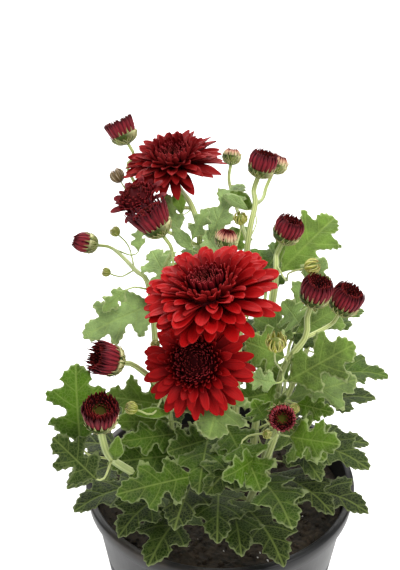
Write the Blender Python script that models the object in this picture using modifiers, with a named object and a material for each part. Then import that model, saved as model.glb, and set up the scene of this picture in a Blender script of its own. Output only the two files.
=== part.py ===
"""Pot chrysanthemum: a black nursery pot of soil with leafy stems, open red blooms and red and green buds.

Units are metres with +Z up, and the tables below are in millimetres, which MM turns into metres.
The origin is the middle of the pot's flat base. -Y is the side that the plant shows best.
"""

import math

import bmesh
import bpy
from mathutils import Matrix, Vector, geometry

MM = 0.001

# Pot and soil
POT_HEIGHT = 120.0
POT_TOP_RADIUS = 71.0
POT_BASE_RADIUS = 53.0
POT_WALL = 1.6
POT_FLOOR = 2.4
RIM_HEIGHT = 9.0
RIM_OVERHANG = 2.6
RIM_ROUND = 1.0
POT_FILLET = 3.0
POT_FOOT_ROUND = 4.0
POT_SEGMENTS = 26
SOIL_TOP = 108.0
SOIL_MOUND = 2.5
SOIL_UNEVEN = 0.7
SOIL_UNEVEN_RADIUS = 50.0
SOIL_RINGS = ((20, 0.8), (44, 0.4))
SOIL_CHAMFER = 5.0
SOIL_SEGMENTS = 18
HOLE_DEPTH = 15.0
HOLE_SIDES = 6

# Clearance between nodes that touch, and the thinnest growth
GAP = 0.3
LEAF_THICK = 0.7
PETAL_THICK = 1.15
CUP_WALL = 0.9
CUP_FLOOR = 1.6

# Faces that meet at less than this angle, in radians, are made one before they are split into triangles
FLAT_ANGLE = 0.05

# Stem radii at the soil, at the top of a main stem, on a side stalk and on a leaf stalk
ROOT_RADIUS = 2.3
NECK_RADIUS = 1.25
SLIM_NECK_RADIUS = 0.8
SLIM_STEM = "stem_left"
STALK_RADIUS = 0.9
BUD_STALK_RADIUS = 0.5
PETIOLE_RADIUS = 0.7
STALK_TAPER = 1.15

# Stalks: the distance between their sections, how far a main stem stands upright out of the soil, how far a
# stalk runs straight before its head, and how far it sinks into a cup and, as a share, into a green bud
MAIN_STEP = 32
SIDE_STEP = 15
UPRIGHT = 6
HEAD_LEAD = 8
CUP_SINK = 0.5
GREEN_SINK = 0.2

# Each main stem: where it stands in the soil, and the way points that it passes on its way up
ROOTS = {
    "stem_front": ((-4, -22), [(-3, -30, 170), (-2, -38, 225), (-2, -42, 248)]),
    "stem_left": ((-27, 6), [(-33, 8, 180), (-37, 16, 230), (-45, 28, 235)]),
    "stem_left_front": ((-22, -12), [(-25, -30, 170), (-28, -48, 210)]),
    "stem_low_left": ((-27, -26), [(-38, -52, 160), (-51, -80, 197)]),
    "stem_rear_left": ((-9, 16), [(-10, 30, 180), (-11, 54, 235), (-15, 64, 253)]),
    "stem_rear_right": ((8, 19), [(10, 26, 190), (14, 37, 246), (18, 50, 262)]),
    "stem_right": ((17, 5), [(21, 0, 190), (26, 0, 238), (27, 7, 250)]),
    "stem_right_front": ((23, -10), [(26, -24, 170), (28, -42, 219), (38, -42, 238)]),
    "stem_low_right": ((12, -27), [(18, -50, 160), (25, -60, 197)]),
    "stem_back": ((-3, 33), [(-4, 46, 150), (-6, 66, 182)]),
    "stem_back_right": ((26, 24), [(36, 36, 140), (50, 54, 168)]),
}

# Each head: kind, middle, the way it faces, diameter, the stem that it tops or the head whose stalk it
# leaves, and how far along that it leaves, as a share
HEADS = {
    "bloom_main": ("bloom", (-7, -56, 272), (-0.22, -0.14, 1), 61, "stem_front", 1),
    "bloom_lower": ("bloom", (-13.5, -58, 235), (-0.16, -0.8, 0.58), 52, "bloom_main", 0.6),
    "bloom_rear": ("bloom", (-26, 86, 273), (-0.16, -0.16, 1), 54, "stem_rear_left", 1),
    "bloom_back": ("bloom", (-8, 88, 190), (-0.05, 0.8, 0.6), 50, "stem_back", 1),
    "bloom_half": ("half", (-44, 47, 268), (-0.35, -0.35, 0.87), 27, "bloom_rear", 0.62),
    "bloom_opening": ("opening", (-33.5, 12, 271), (-0.5, 0.15, 0.82), 20.5, "bud_left", 0.6),
    "bud_rear_left": ("bud", (-55, 106, 281.5), (-0.42, 0.3, 0.86), 16.3, "bloom_rear", 0.72),
    "bud_left": ("shut", (-74, 55, 237), (-0.93, -0.16, 0.32), 11.8, "stem_left", 1),
    "bud_left_front": ("bud", (-53, -60, 238), (-0.79, -0.35, 0.49), 15.3, "stem_left_front", 1),
    "bud_low_left": ("bud", (-54, -89, 229), (0.03, -0.28, 0.96), 16, "stem_low_left", 1),
    "bud_rear_right": ("bud", (22, 61, 281), (0.27, 0.07, 0.95), 15.3, "stem_rear_right", 1),
    "bud_rear_behind": ("button", (31, 78, 274), (0.4, 0.3, 0.87), 11.9, "bud_rear_right", 0.78),
    "bud_rear_middle": ("button", (7, 102, 268), (0.12, 0.45, 0.88), 10.2, "bud_rear_right", 0.66),
    "bud_right": ("bud", (33, 14, 266), (0.35, -0.03, 0.94), 14.9, "stem_right", 1),
    "bud_right_front": ("bud", (42, -40, 262), (0.2, -0.13, 0.97), 15, "stem_right_front", 1),
    "bud_far_right": ("bud", (57, -34, 254), (0.35, -0.1, 0.93), 15.3, "bud_right_front", 0.8),
    "bud_low_front": ("bud", (26, -73, 215), (0.05, -0.87, 0.48), 12.2, "stem_low_right", 1),
    "bud_middle": ("button", (2, 7, 265), (0.15, 0.1, 0.98), 10.8, "bud_rear_right", 0.55),
    "bud_back_right": ("bud", (60, 70, 187), (0.55, 0.5, 0.66), 14, "stem_back_right", 1),
    "bud_back_upper": ("bud", (34, 90, 206), (0.4, 0.5, 0.75), 13, "bloom_back", 0.55),
    "bud_back_low": ("button", (46, 88, 160), (0.3, 0.75, 0.6), 12, "bud_back_right", 0.45),
    "tip_upper_left": ("green", (-57, 87, 262), (-0.5, 0.3, 0.8), 8.3, "bud_rear_left", 0.55),
    "tip_left": ("green", (-57, 58, 242), (-0.6, 0.1, 0.7), 5.6, "bud_left", 0.8),
    "tip_left_low": ("green", (-61, 38, 228), (-0.9, -0.1, 0.4), 4.8, "bud_left", 0.74),
    "tip_left_front": ("green", (-42, -71, 219), (-0.85, -0.2, 0.45), 5.9, "bud_left_front", 0.62),
    "tip_centre_left": ("green", (-32, -40, 233), (-0.3, 0, 0.95), 4.4, "bud_left_front", 0.66),
    "tip_right": ("green", (41, -26, 267), (0.85, -0.2, 0.4), 7, "bud_right", 0.72),
    "tip_centre": ("green", (23, -61, 247), (0, -0.3, 0.95), 7.6, "bud_right_front", 0.62),
    "tip_rear": ("green", (10, 39, 259), (0, -0.3, 0.95), 6.2, "bud_middle", 0.4),
    "tip_low_right": ("green", (33, -58, 209), (0.4, -0.2, 0.9), 4.8, "bud_low_front", 0.72),
    "tip_low_front": ("green", (19, -80, 211), (-0.3, -0.6, 0.7), 4.2, "bud_low_front", 0.8),
    "tip_back": ("green", (-36, 84, 170), (-0.6, 0.5, 0.6), 7, "bloom_back", 0.6),
    "tip_back_right": ("green", (66, 50, 172), (0.8, 0.1, 0.6), 6.5, "bud_back_right", 0.6),
}

# Way points of the side stalks that bend on their way
BENDS = {
    "bloom_opening": [(-28, 16, 246)],
    "bud_rear_left": [(-38, 84, 246), (-52, 103, 259)],
    "bloom_half": [(-30, 50, 247)],
    "bud_rear_behind": [(23, 66, 258)],
    "bud_rear_middle": [(8, 80, 250)],
    "bud_middle": [(4, 14, 245)],
    "bud_far_right": [(46, -37, 239)],
    "tip_right": [(31, -8, 249)],
    "tip_upper_left": [(-52, 84, 256)],
    "bloom_lower": [(-8, -44, 223)],
    "bud_back_upper": [(22, 66, 186)],
}

# Leaves that show in front view: the head whose stalk carries it, base, tip, width, the way its face looks,
# arch
LEAVES = {
    "leaf_left_big": ("bud_left", (-34, 19, 220), (-71, 2, 210), 29, (-0.1, -0.7, 0.7), 0.08),
    "leaf_left_curl": ("bud_left", (-49, 12, 232), (-60, 2, 225), 11, (-0.2, -0.8, 0.6), 0.1),
    "leaf_left_upper": ("bud_left", (-44, 45, 237), (-43, 62, 243), 10, (-0.3, -0.7, 0.6), 0.05),
    "leaf_centre_left": ("bloom_opening", (-25, 6, 236), (-36, 26, 248), 20, (0.1, -0.9, 0.4), 0.06),
    "leaf_front_left": ("bud_low_left", (-65, -80, 205), (-67, -62, 237), 28, (0, -0.9, 0.5), 0.05),
    "leaf_front_left_low": ("bud_low_left", (-57, -93, 196), (-76, -86, 214), 20, (0, -0.7, 0.7), 0.06),
    "leaf_low_left_slim": ("bud_low_left", (-49, -88, 203), (-47, -88, 216), 7, (0, -1, 0.2), 0.05),
    "leaf_left_front": ("bud_left_front", (-24, -44, 200), (-57, -40, 203), 22, (0.1, -0.7, 0.7), 0.07),
    "leaf_left_front_low": ("bud_left_front", (-22, -52, 190), (-48, -66, 196), 17, (0, -0.8, 0.6), 0.07),
    "leaf_left_front_slim": ("bud_left_front", (-25, -64, 211), (-41, -67, 213), 6, (0, -0.7, 0.7), 0.04),
    "leaf_front": ("bloom_lower", (0, -50, 218), (-7, -75, 205), 33, (0, -0.8, 0.6), 0.02),
    "leaf_front_low": ("bloom_main", (-14, -74, 182), (-48, -96, 190), 24, (0, -0.7, 0.7), 0.06),
    "leaf_low_right": ("bud_low_front", (14, -78, 196), (-1, -97, 200), 16, (0.1, -0.9, 0.4), 0.06),
    "leaf_low_right_bright": ("bud_low_front", (30, -74, 205), (51, -86, 210), 20, (0.1, -0.8, 0.6), 0.06),
    "leaf_low_centre": ("bud_low_front", (19, -63, 207), (13, -69, 222), 14, (0.1, -0.9, 0.3), 0.06),
    "leaf_low_front": ("bud_low_front", (8, -68, 196), (16, -96, 192), 24, (0, -0.6, 0.8), 0.06),
    "leaf_mid_centre": ("bud_right_front", (25, -41, 206), (6, -47, 206), 20, (0, -0.8, 0.6), 0.06),
    "leaf_mid_front": ("bloom_main", (0, -44, 192), (9, -67, 187), 26, (0, -0.6, 0.8), 0.06),
    "leaf_mid_right": ("bud_right_front", (30, -40, 186), (48, -64, 184), 30, (0, -0.6, 0.8), 0.06),
    "leaf_right_front_low": ("bud_right_front", (35, -50, 206), (51, -61, 209), 13, (0, -0.8, 0.6), 0.07),
    "leaf_right_front_big": ("bud_right_front", (30, -50, 219), (62, -38, 232), 27, (0.2, -0.7, 0.7), 0.09),
    "leaf_right_lower": ("bud_right_front", (33, -32, 196), (67, -24, 202), 25, (0.1, -0.75, 0.66), 0.08),
    "leaf_right_mid": ("bud_right", (38, -10, 226), (29, -18, 243), 20, (0.1, -0.85, 0.5), 0.07),
    "leaf_right_side": ("bud_right", (38, 0, 214), (66, 12, 226), 22, (0.2, -0.75, 0.6), 0.07),
    "leaf_centre_right": ("bud_right_front", (28, -46, 230), (10, -46, 239), 24, (0, -0.85, 0.5), 0.07),
    "leaf_under_main": ("bud_right_front", (24, -56, 222), (9, -60, 229), 12, (0, -0.85, 0.5), 0.06),
    "leaf_rear_right_big": ("bud_right", (31, 28, 234), (62, 60, 250), 33, (0.1, -0.7, 0.7), 0.09),
    "leaf_rear_right_slim": ("bud_right", (29, 20, 243), (31, 30, 258), 6, (0, -0.9, 0.4), 0.04),
    "leaf_rear_long": ("bud_rear_right", (-6, 46, 243), (13, 77, 262), 17, (-0.2, -0.6, 0.75), 0.14),
    "leaf_rear_thin": ("bud_rear_right", (14, 52, 258), (1, 62, 262), 7, (0, -0.7, 0.7), 0.12),
    "leaf_rear_fork": ("bloom_rear", (-15, 42, 246), (-7, 50, 260), 12, (0, -0.85, 0.5), 0.06),
    "leaf_rear_fresh": ("bloom_rear", (-21, 60, 252), (-24, 68, 263), 8, (0, -0.85, 0.5), 0.04),
    "leaf_rear_green": ("bud_rear_right", (17, 57, 256), (5, 67, 262), 9, (0, -0.8, 0.6), 0.05),
    "leaf_rear_dark": ("bud_rear_right", (6, 54, 236), (-5, 70, 243), 13, (0, -0.85, 0.5), 0.05),
    "leaf_rear_light": ("bud_middle", (2, 36, 234), (-9, 52, 246), 14, (0, -0.85, 0.5), 0.06),
    "leaf_rear_left": ("bloom_rear", (-22, 58, 240), (-31, 78, 256), 13, (0, -0.85, 0.5), 0.06),
    "leaf_rear_left_slim": ("bloom_rear", (-15, 44, 238), (-26, 52, 248), 8, (0, -0.85, 0.5), 0.05),
}

# Lower leaves, which spread in tiers from their stems: stem, azimuth in degrees from +X, radius and height
# of the base, radius and height of the tip, width
LOWER_LEAVES = [
    ("stem_right", 12, 36, 125, 86, 130, 32),
    ("stem_back_right", 52, 40, 127, 88, 131, 31),
    ("stem_back", 90, 42, 125, 88, 129, 32),
    ("stem_rear_left", 130, 34, 126, 82, 130, 32),
    ("stem_left", 170, 38, 126, 86, 131, 32),
    ("stem_left_front", 208, 36, 128, 86, 132, 32),
    ("stem_low_left", 246, 40, 129, 88, 133, 31),
    ("stem_low_right", 290, 38, 128, 86, 133, 32),
    ("stem_right_front", 332, 38, 126, 86, 131, 32),
    ("stem_right", 2, 36, 160, 82, 172, 31),
    ("stem_back_right", 36, 52, 152, 98, 162, 30),
    ("stem_back", 104, 54, 152, 100, 158, 31),
    ("stem_back", 72, 52, 160, 96, 170, 28),
    ("stem_low_left", 222, 54, 158, 100, 170, 30),
    ("stem_front", 256, 46, 158, 94, 166, 31),
    ("stem_low_right", 288, 54, 162, 100, 170, 30),
    ("stem_right_front", 322, 42, 162, 90, 172, 32),
    ("stem_right", 26, 42, 190, 86, 206, 30),
    ("stem_rear_right", 80, 46, 196, 88, 210, 28),
    ("stem_rear_right", 62, 40, 213, 78, 230, 28),
    ("stem_rear_left", 100, 58, 202, 95, 214, 27),
    ("stem_left", 196, 44, 172, 80, 181, 26),
    ("stem_right", 354, 46, 186, 86, 194, 28),
    ("stem_front", 262, 44, 184, 84, 180, 28),
    ("stem_low_right", 276, 42, 140, 84, 142, 27),
    ("stem_right_front", 306, 40, 176, 80, 172, 26),
    ("stem_low_left", 236, 46, 142, 90, 146, 28),
    ("stem_low_right", 268, 42, 148, 84, 151, 28),
    ("stem_right_front", 310, 40, 147, 84, 151, 28),
]
LOWER_ARCH = 0.1
LOWER_TILT = 0.25


def jitter(*keys):
    """A number from -1 to 1 that looks random and is the same each run."""
    wave = math.sin(sum(key * weight for key, weight in zip(keys, (12.9898, 78.233, 37.719)))) * 43758.5453
    return 2 * (wave - math.floor(wave)) - 1


def material(name, colour, roughness):
    """A plain material of one colour."""
    made = bpy.data.materials.new(name)
    made.use_nodes = True
    shader = made.node_tree.nodes["Principled BSDF"]
    shader.inputs["Base Color"].default_value = (*colour, 1)
    shader.inputs["Roughness"].default_value = roughness
    return made


def object_from(name, mesh, collection):
    """A new object that holds the mesh."""
    made = bpy.data.objects.new(name, mesh)
    collection.objects.link(made)
    return made


def remove(made):
    """Removes an object together with its mesh or curve."""
    data = made.data
    bpy.data.objects.remove(made)
    if isinstance(data, bpy.types.Curve):
        bpy.data.curves.remove(data)
    else:
        bpy.data.meshes.remove(data)


def settled(made, weld=0.0):
    """A mesh object in place of one with modifiers or of a curve, with its caps welded if weld is given."""
    graph = bpy.context.evaluated_depsgraph_get()
    mesh = bpy.data.meshes.new_from_object(made.evaluated_get(graph))
    if weld:
        cage = bmesh.new()
        cage.from_mesh(mesh)
        bmesh.ops.remove_doubles(cage, verts=cage.verts, dist=weld)
        cage.to_mesh(mesh)
        cage.free()
    name = made.name
    collection = made.users_collection[0]
    place = made.matrix_world.copy()
    remove(made)
    plain = object_from(name, mesh, collection)
    plain.matrix_world = place
    return plain


def standing(middle, facing):
    """The placing, in metres, of a shape whose own +Z looks along facing."""
    up = Vector(facing).normalized()
    side = Vector((1, 0, 0)) - up * up.x
    side.normalize()
    turn = Matrix((side, up.cross(side), up)).transposed().to_4x4()
    return Matrix.Translation(Vector(middle) * MM) @ turn


def turned(name, profile, segments, collection):
    """A solid turned from (radius, height) points in millimetres that run down its outer side."""
    mesh = bpy.data.meshes.new(name)
    points = [(radius * MM, 0, height * MM) for radius, height in profile]
    mesh.from_pydata(points, [(i, i + 1) for i in range(len(points) - 1)], [])
    made = object_from(name, mesh, collection)
    screw = made.modifiers.new("turn", "SCREW")
    screw.steps = segments
    screw.render_steps = segments
    screw.use_merge_vertices = True
    screw.merge_threshold = 0.00001
    return settled(made)


def curve_through(points, step):
    """Points about a step apart on one smooth curve through the given points, in millimetres."""
    knots = [Vector(point) for point in points]
    knots = [knots[0] * 2 - knots[1], *knots, knots[-1] * 2 - knots[-2]]
    path = []
    for before, start, end, after in zip(knots, knots[1:], knots[2:], knots[3:]):
        pieces = max(1, round((end - start).length / step))
        for i in range(pieces):
            t = i / pieces
            path.append(
                0.5
                * (
                    2 * start
                    + (end - before) * t
                    + (2 * before - 5 * start + 4 * end - after) * t**2
                    + (3 * start - before - 3 * end + after) * t**3
                )
            )
    path.append(knots[-2])
    return path


def tube(name, path, start_radius, end_radius, bevel_resolution, collection):
    """A tapering round stalk along a path in millimetres."""
    curve = bpy.data.curves.new(name, "CURVE")
    curve.dimensions = "3D"
    curve.bevel_depth = MM
    curve.bevel_resolution = bevel_resolution
    curve.use_fill_caps = True
    spline = curve.splines.new("POLY")
    spline.points.add(len(path) - 1)
    for i, place in enumerate(path):
        share = i / (len(path) - 1)
        spline.points[i].co = (*(place * MM), 1)
        spline.points[i].radius = start_radius + (end_radius - start_radius) * share
    made = object_from(name, curve, collection)
    return settled(made, weld=0.00001)


def fused(name, pieces, target):
    """One body from pieces that run into each other, in the target collection."""
    carrier = pieces[0]
    others = bpy.data.collections.new("joined")
    bpy.context.scene.collection.children.link(others)
    for piece in pieces[1:]:
        piece.users_collection[0].objects.unlink(piece)
        others.objects.link(piece)
    join = carrier.modifiers.new("join", "BOOLEAN")
    join.operation = "UNION"
    join.operand_type = "COLLECTION"
    join.collection = others
    join.solver = "EXACT"
    whole = settled(carrier)
    for piece in list(others.objects):
        remove(piece)
    bpy.data.collections.remove(others)
    keep_largest_body(whole.data)
    whole.users_collection[0].objects.unlink(whole)
    target.objects.link(whole)
    whole.name = name
    whole.data.name = name
    return whole


def keep_largest_body(mesh):
    """Drops loose scraps, and fills hollows that fusing has sealed, by keeping only the largest surface."""
    cage = bmesh.new()
    cage.from_mesh(mesh)
    left = set(cage.verts)
    bodies = []
    while left:
        body = {left.pop()}
        edge_of_body = list(body)
        while edge_of_body:
            vertex = edge_of_body.pop()
            near = {link.other_vert(vertex) for link in vertex.link_edges} & left
            left -= near
            body |= near
            edge_of_body += near
        bodies.append(body)
    bodies.sort(key=len)
    scraps = [vertex for body in bodies[:-1] for vertex in body]
    bmesh.ops.delete(cage, geom=scraps, context="VERTS")
    bmesh.ops.dissolve_limit(cage, angle_limit=FLAT_ANGLE, verts=cage.verts, edges=cage.edges)
    bmesh.ops.triangulate(cage, faces=cage.faces)
    cage.to_mesh(mesh)
    cage.free()


# The pot and its soil
def wall_radius(height):
    """The outer radius of the pot's wall at a height."""
    return POT_BASE_RADIUS + (POT_TOP_RADIUS - POT_BASE_RADIUS) * height / POT_HEIGHT


def pot(collection):
    """A tapered pot with a rolled-over rim, turned from its wall's profile."""
    rim_foot = POT_HEIGHT - RIM_HEIGHT
    rim_radius = POT_TOP_RADIUS + RIM_OVERHANG
    fillet_top = POT_FLOOR + POT_FILLET
    profile = [
        (0, POT_FLOOR),
        (POT_BASE_RADIUS - POT_WALL - POT_FILLET, POT_FLOOR),
        (wall_radius(fillet_top) - POT_WALL, fillet_top),
        (POT_TOP_RADIUS - POT_WALL, POT_HEIGHT - RIM_ROUND),
        (POT_TOP_RADIUS - POT_WALL / 2, POT_HEIGHT),
        (rim_radius - RIM_ROUND, POT_HEIGHT),
        (rim_radius, POT_HEIGHT - RIM_ROUND),
        (rim_radius - RIM_ROUND, rim_foot),
        (wall_radius(rim_foot), rim_foot + RIM_ROUND / 2),
        (wall_radius(POT_FOOT_ROUND), POT_FOOT_ROUND),
        (POT_BASE_RADIUS - RIM_ROUND, 0),
        (0, 0),
    ]
    return turned("pot", profile, POT_SEGMENTS, collection)


def soil(collection):
    """The potting mix, with a low uneven mound on top and a plain hole for each stem."""
    foot = POT_FLOOR + GAP
    clear = POT_WALL + 2 * GAP
    shoulder = foot + SOIL_CHAMFER
    profile = [
        (0, SOIL_TOP + SOIL_MOUND),
        *((radius, SOIL_TOP + SOIL_MOUND * share) for radius, share in SOIL_RINGS),
        (wall_radius(SOIL_TOP) - clear, SOIL_TOP),
        (wall_radius(shoulder) - clear, shoulder),
        (POT_BASE_RADIUS - clear - SOIL_CHAMFER, foot),
        (0, foot),
    ]
    made = turned("soil", profile, SOIL_SEGMENTS, collection)
    for vertex in made.data.vertices:
        radius = Vector(vertex.co[:2]).length / MM
        if vertex.co.z > (SOIL_TOP - 1) * MM and radius < SOIL_UNEVEN_RADIUS:
            vertex.co.z += SOIL_UNEVEN * MM * jitter(vertex.co.x / MM, vertex.co.y / MM)
    cutters = bpy.data.collections.new("cutters")
    bpy.context.scene.collection.children.link(cutters)
    for (x, y), _ in ROOTS.values():
        deep = SOIL_TOP - HOLE_DEPTH
        bpy.ops.mesh.primitive_cylinder_add(
            vertices=HOLE_SIDES,
            radius=(ROOT_RADIUS + 3 * GAP) * MM,
            depth=3 * HOLE_DEPTH * MM,
            location=(x * MM, y * MM, (deep + 1.5 * HOLE_DEPTH) * MM),
        )
        cutter = bpy.context.active_object
        cutter.users_collection[0].objects.unlink(cutter)
        cutters.objects.link(cutter)
    cut = made.modifiers.new("holes", "BOOLEAN")
    cut.operation = "DIFFERENCE"
    cut.operand_type = "COLLECTION"
    cut.collection = cutters
    whole = settled(made)
    for cutter in list(cutters.objects):
        remove(cutter)
    bpy.data.collections.remove(cutters)
    return whole


# Petals, corollas, hearts, calyx cups and buds, each made around its own +Z before it is placed. Their tables
# are in shares of the head's radius

# Petal widths along the petal, as (share of the length, share of the width), and how deep it is channelled
PETAL_SHARES = ((0.0, 0.26), (0.7, 1.0), (1.0, 0.0))
PETAL_CUP = 0.1

# How far petals differ, in degrees of lean, as a share of their length and as a share of their spacing
PETAL_LEAN = 4
PETAL_UNEVEN = 0.05
PETAL_SHIFT = 0.1

# Rows of petals: number of petals, start radius and height, length, width, and the rise in degrees above the
# level at the root and at the tip
PETAL_ROWS = {
    "bloom": (
        (14, 0.27, -0.12, 0.74, 0.28, 6, -6),
        (11, 0.28, -0.05, 0.62, 0.28, 27, 8),
        (8, 0.29, 0.0, 0.46, 0.25, 52, 24),
        (5, 0.29, 0.01, 0.31, 0.24, 76, 56),
    ),
    "half": (
        (7, 0.26, -0.14, 0.78, 0.44, 34, 8),
        (6, 0.24, -0.06, 0.70, 0.42, 64, 46),
        (4, 0.16, 0.0, 0.62, 0.36, 84, 84),
    ),
    "opening": (
        (8, 0.42, -0.3, 1.15, 0.5, 74, 66),
        (5, 0.24, -0.2, 1.1, 0.42, 84, 82),
    ),
}

# The lower bloom's petals that rise towards the main bloom are shorter, by this share
LOWER_BLOOM = "bloom_lower"
CROWDED_SIDE = (0, 0.58, 0.8)
CROWDED_SHARE = 0.34

# Solid cores that the petals and buds are built on, from the top down
CORES = {
    "bloom": ((0, 0.02), (0.33, 0.02), (0.29, -0.2), (0.22, -0.28), (0, -0.34)),
    "half": ((0, 0.02), (0.33, 0.02), (0.35, -0.36), (0.27, -0.48), (0, -0.56)),
    "opening": ((0, 0.1), (0.4, 0.0), (0.5, -0.34), (0.36, -0.56), (0, -0.64)),
    "bud": ((0, 0.3), (0.5, 0.46), (0.78, 0.82), (1, 0.36), (0.9, -0.26), (0.58, -0.66), (0, -0.8)),
    "shut": ((0, 0.94), (0.24, 1.05), (0.66, 0.9), (1, 0.18), (0.84, -0.4), (0.52, -0.96), (0, -1.12)),
    "button": ((0, 0.6), (0.24, 0.72), (0.66, 0.64), (1, 0.08), (0.9, -0.3), (0.58, -0.68), (0, -0.82)),
    "green": ((0, 0.72), (0.52, 1), (1, 0.1), (0.6, -0.84), (0, -1)),
}
CORE_SEGMENTS = 12

# Calyx cups: the outline that they follow from its foot upwards, number of teeth, height of the teeth
CUPS = {
    "bloom": (((0, -0.34), (0.22, -0.28), (0.29, -0.21)), 4, 0.025),
    "half": (((0, -0.56), (0.27, -0.48), (0.35, -0.36)), 4, 0.03),
    "opening": (((0, -0.64), (0.36, -0.56), (0.5, -0.34)), 4, 0.07),
    "bud": (((0, -0.8), (0.58, -0.66), (0.91, -0.28)), 5, 0.1),
    "shut": (((0, -1.12), (0.52, -0.96), (0.87, -0.4)), 5, 0.12),
    "button": (((0, -0.82), (0.58, -0.68), (0.91, -0.32)), 5, 0.12),
}

# The dome of young florets, and the height of its knobs
HEART_PROFILE = ((0, 0.19), (0.12, 0.18), (0.21, 0.12), (0.25, 0.02), (0, 0.02))
HEART_KNOBS = 6
HEART_KNOB = 0.035

# The kinds of red bud, the ridges of their folded petals, as a share of the radius, and the teeth of an open
# bud's rim
BUD_KINDS = ("bud", "shut", "button")
BUD_RIDGES = 5
BUD_RIDGE = 0.03
BUD_RIM = 0.6
RIM_TOOTH = 0.07
GREEN_RIDGES = 3
GREEN_RIDGE = 0.05


def petal(name, azimuth, root, length, width, rises, collection):
    """A closed blade with a low keel below, lofted through three-sided sections, that leaves the axis at an
    azimuth."""
    out = Vector((math.cos(azimuth), math.sin(azimuth), 0))
    side = Vector((-out.y, out.x, 0))
    up = Vector((0, 0, 1))
    cage = bmesh.new()
    rings = []
    place = out * root[0] + up * root[1]
    before = 0.0
    for share, breadth in PETAL_SHARES:
        middle_rise = math.radians(rises[0] + (rises[1] - rises[0]) * (share + before) / 2)
        place = place + (out * math.cos(middle_rise) + up * math.sin(middle_rise)) * (share - before) * length
        before = share
        rise = math.radians(rises[0] + (rises[1] - rises[0]) * share)
        normal = up * math.cos(rise) - out * math.sin(rise)
        if breadth == 0:
            point = cage.verts.new(place * MM)
            break
        half = width * breadth / 2
        lift = normal * PETAL_CUP * width * breadth
        ring = (place + side * half + lift, place - side * half + lift, place - normal * PETAL_THICK)
        rings.append([cage.verts.new(point * MM) for point in ring])
    for near, far in zip(rings, rings[1:]):
        for i in range(3):
            cage.faces.new((near[i], near[(i + 1) % 3], far[(i + 1) % 3], far[i]))
    cage.faces.new(reversed(rings[0]))
    for i in range(3):
        cage.faces.new((rings[-1][i], rings[-1][(i + 1) % 3], point))
    bmesh.ops.triangulate(cage, faces=cage.faces)
    bmesh.ops.recalc_face_normals(cage, faces=cage.faces)
    mesh = bpy.data.meshes.new(name)
    cage.to_mesh(mesh)
    cage.free()
    return object_from(name, mesh, collection)


def scaled(profile, size):
    """A profile in shares, made the given size."""
    return [(radius * size, height * size) for radius, height in profile]


def ridged(made, ridges, depth):
    """Draws a turned shape in between its ridges, by a share of its radius."""
    for vertex in made.data.vertices:
        angle = math.atan2(vertex.co.y, vertex.co.x)
        share = 1 - depth + depth * math.cos(ridges * angle)
        vertex.co.x *= share
        vertex.co.y *= share


def crowding(name, place, azimuth):
    """The share of a petal's length that is left where another bloom takes its room."""
    if name != LOWER_BLOOM:
        return 1.0
    out = place.to_3x3() @ Vector((math.cos(azimuth), math.sin(azimuth), 0))
    return 1 - CROWDED_SHARE * max(0.0, out.dot(Vector(CROWDED_SIDE).normalized())) ** 2


def corolla(name, kind, place, radius, target):
    """The ray florets of one bloom, in their rows round a small core."""
    pieces = [turned(name, scaled(CORES[kind], radius), CORE_SEGMENTS, target)]
    for row, (count, start, height, length, width, rise, end_rise) in enumerate(PETAL_ROWS[kind]):
        for i in range(count):
            turn = i + 0.5 * (row % 2) + PETAL_SHIFT * jitter(row, i, radius)
            azimuth = 2 * math.pi * turn / count
            reach = length * radius * (1 + PETAL_UNEVEN * jitter(i, row, 3)) - PETAL_THICK / 3
            reach *= crowding(name, place, azimuth)
            lean = PETAL_LEAN * jitter(i, 5, row)
            root = (start * radius, height * radius)
            rises = (rise + lean, end_rise + lean)
            pieces.append(petal("petal", azimuth, root, reach, width * radius, rises, target))
    whole = fused(name, pieces, target)
    whole.data.transform(place)
    return whole


def heart(name, place, radius, target):
    """The dark cluster of young florets in the middle of a bloom, as a knobbly dome."""
    profile = [(r * radius, h * radius + GAP) for r, h in HEART_PROFILE]
    whole = turned(name, profile, CORE_SEGMENTS, target)
    foot = profile[-1][1]
    for vertex in whole.data.vertices:
        height = vertex.co.z / MM - foot
        if height > GAP and Vector(vertex.co[:2]).length > GAP * MM:
            angle = math.atan2(vertex.co.y, vertex.co.x)
            vertex.co.z += HEART_KNOB * radius * MM * math.cos(HEART_KNOBS * angle + height)
    whole.data.transform(place)
    return whole


def bud(name, kind, place, radius, target):
    """A red bud with the ridges of its folded petals: a tub with a hollow top and a toothed rim, or an ovoid
    with a dimple at its tip while it is shut."""
    whole = turned(name, scaled(CORES[kind], radius), 2 * BUD_RIDGES, target)
    ridged(whole, BUD_RIDGES, BUD_RIDGE)
    for vertex in whole.data.vertices:
        if kind == "bud" and vertex.co.z > BUD_RIM * radius * MM:
            angle = math.atan2(vertex.co.y, vertex.co.x)
            vertex.co.z += RIM_TOOTH * radius * math.cos(BUD_RIDGES * angle) * MM
    whole.data.transform(place)
    return whole


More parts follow.
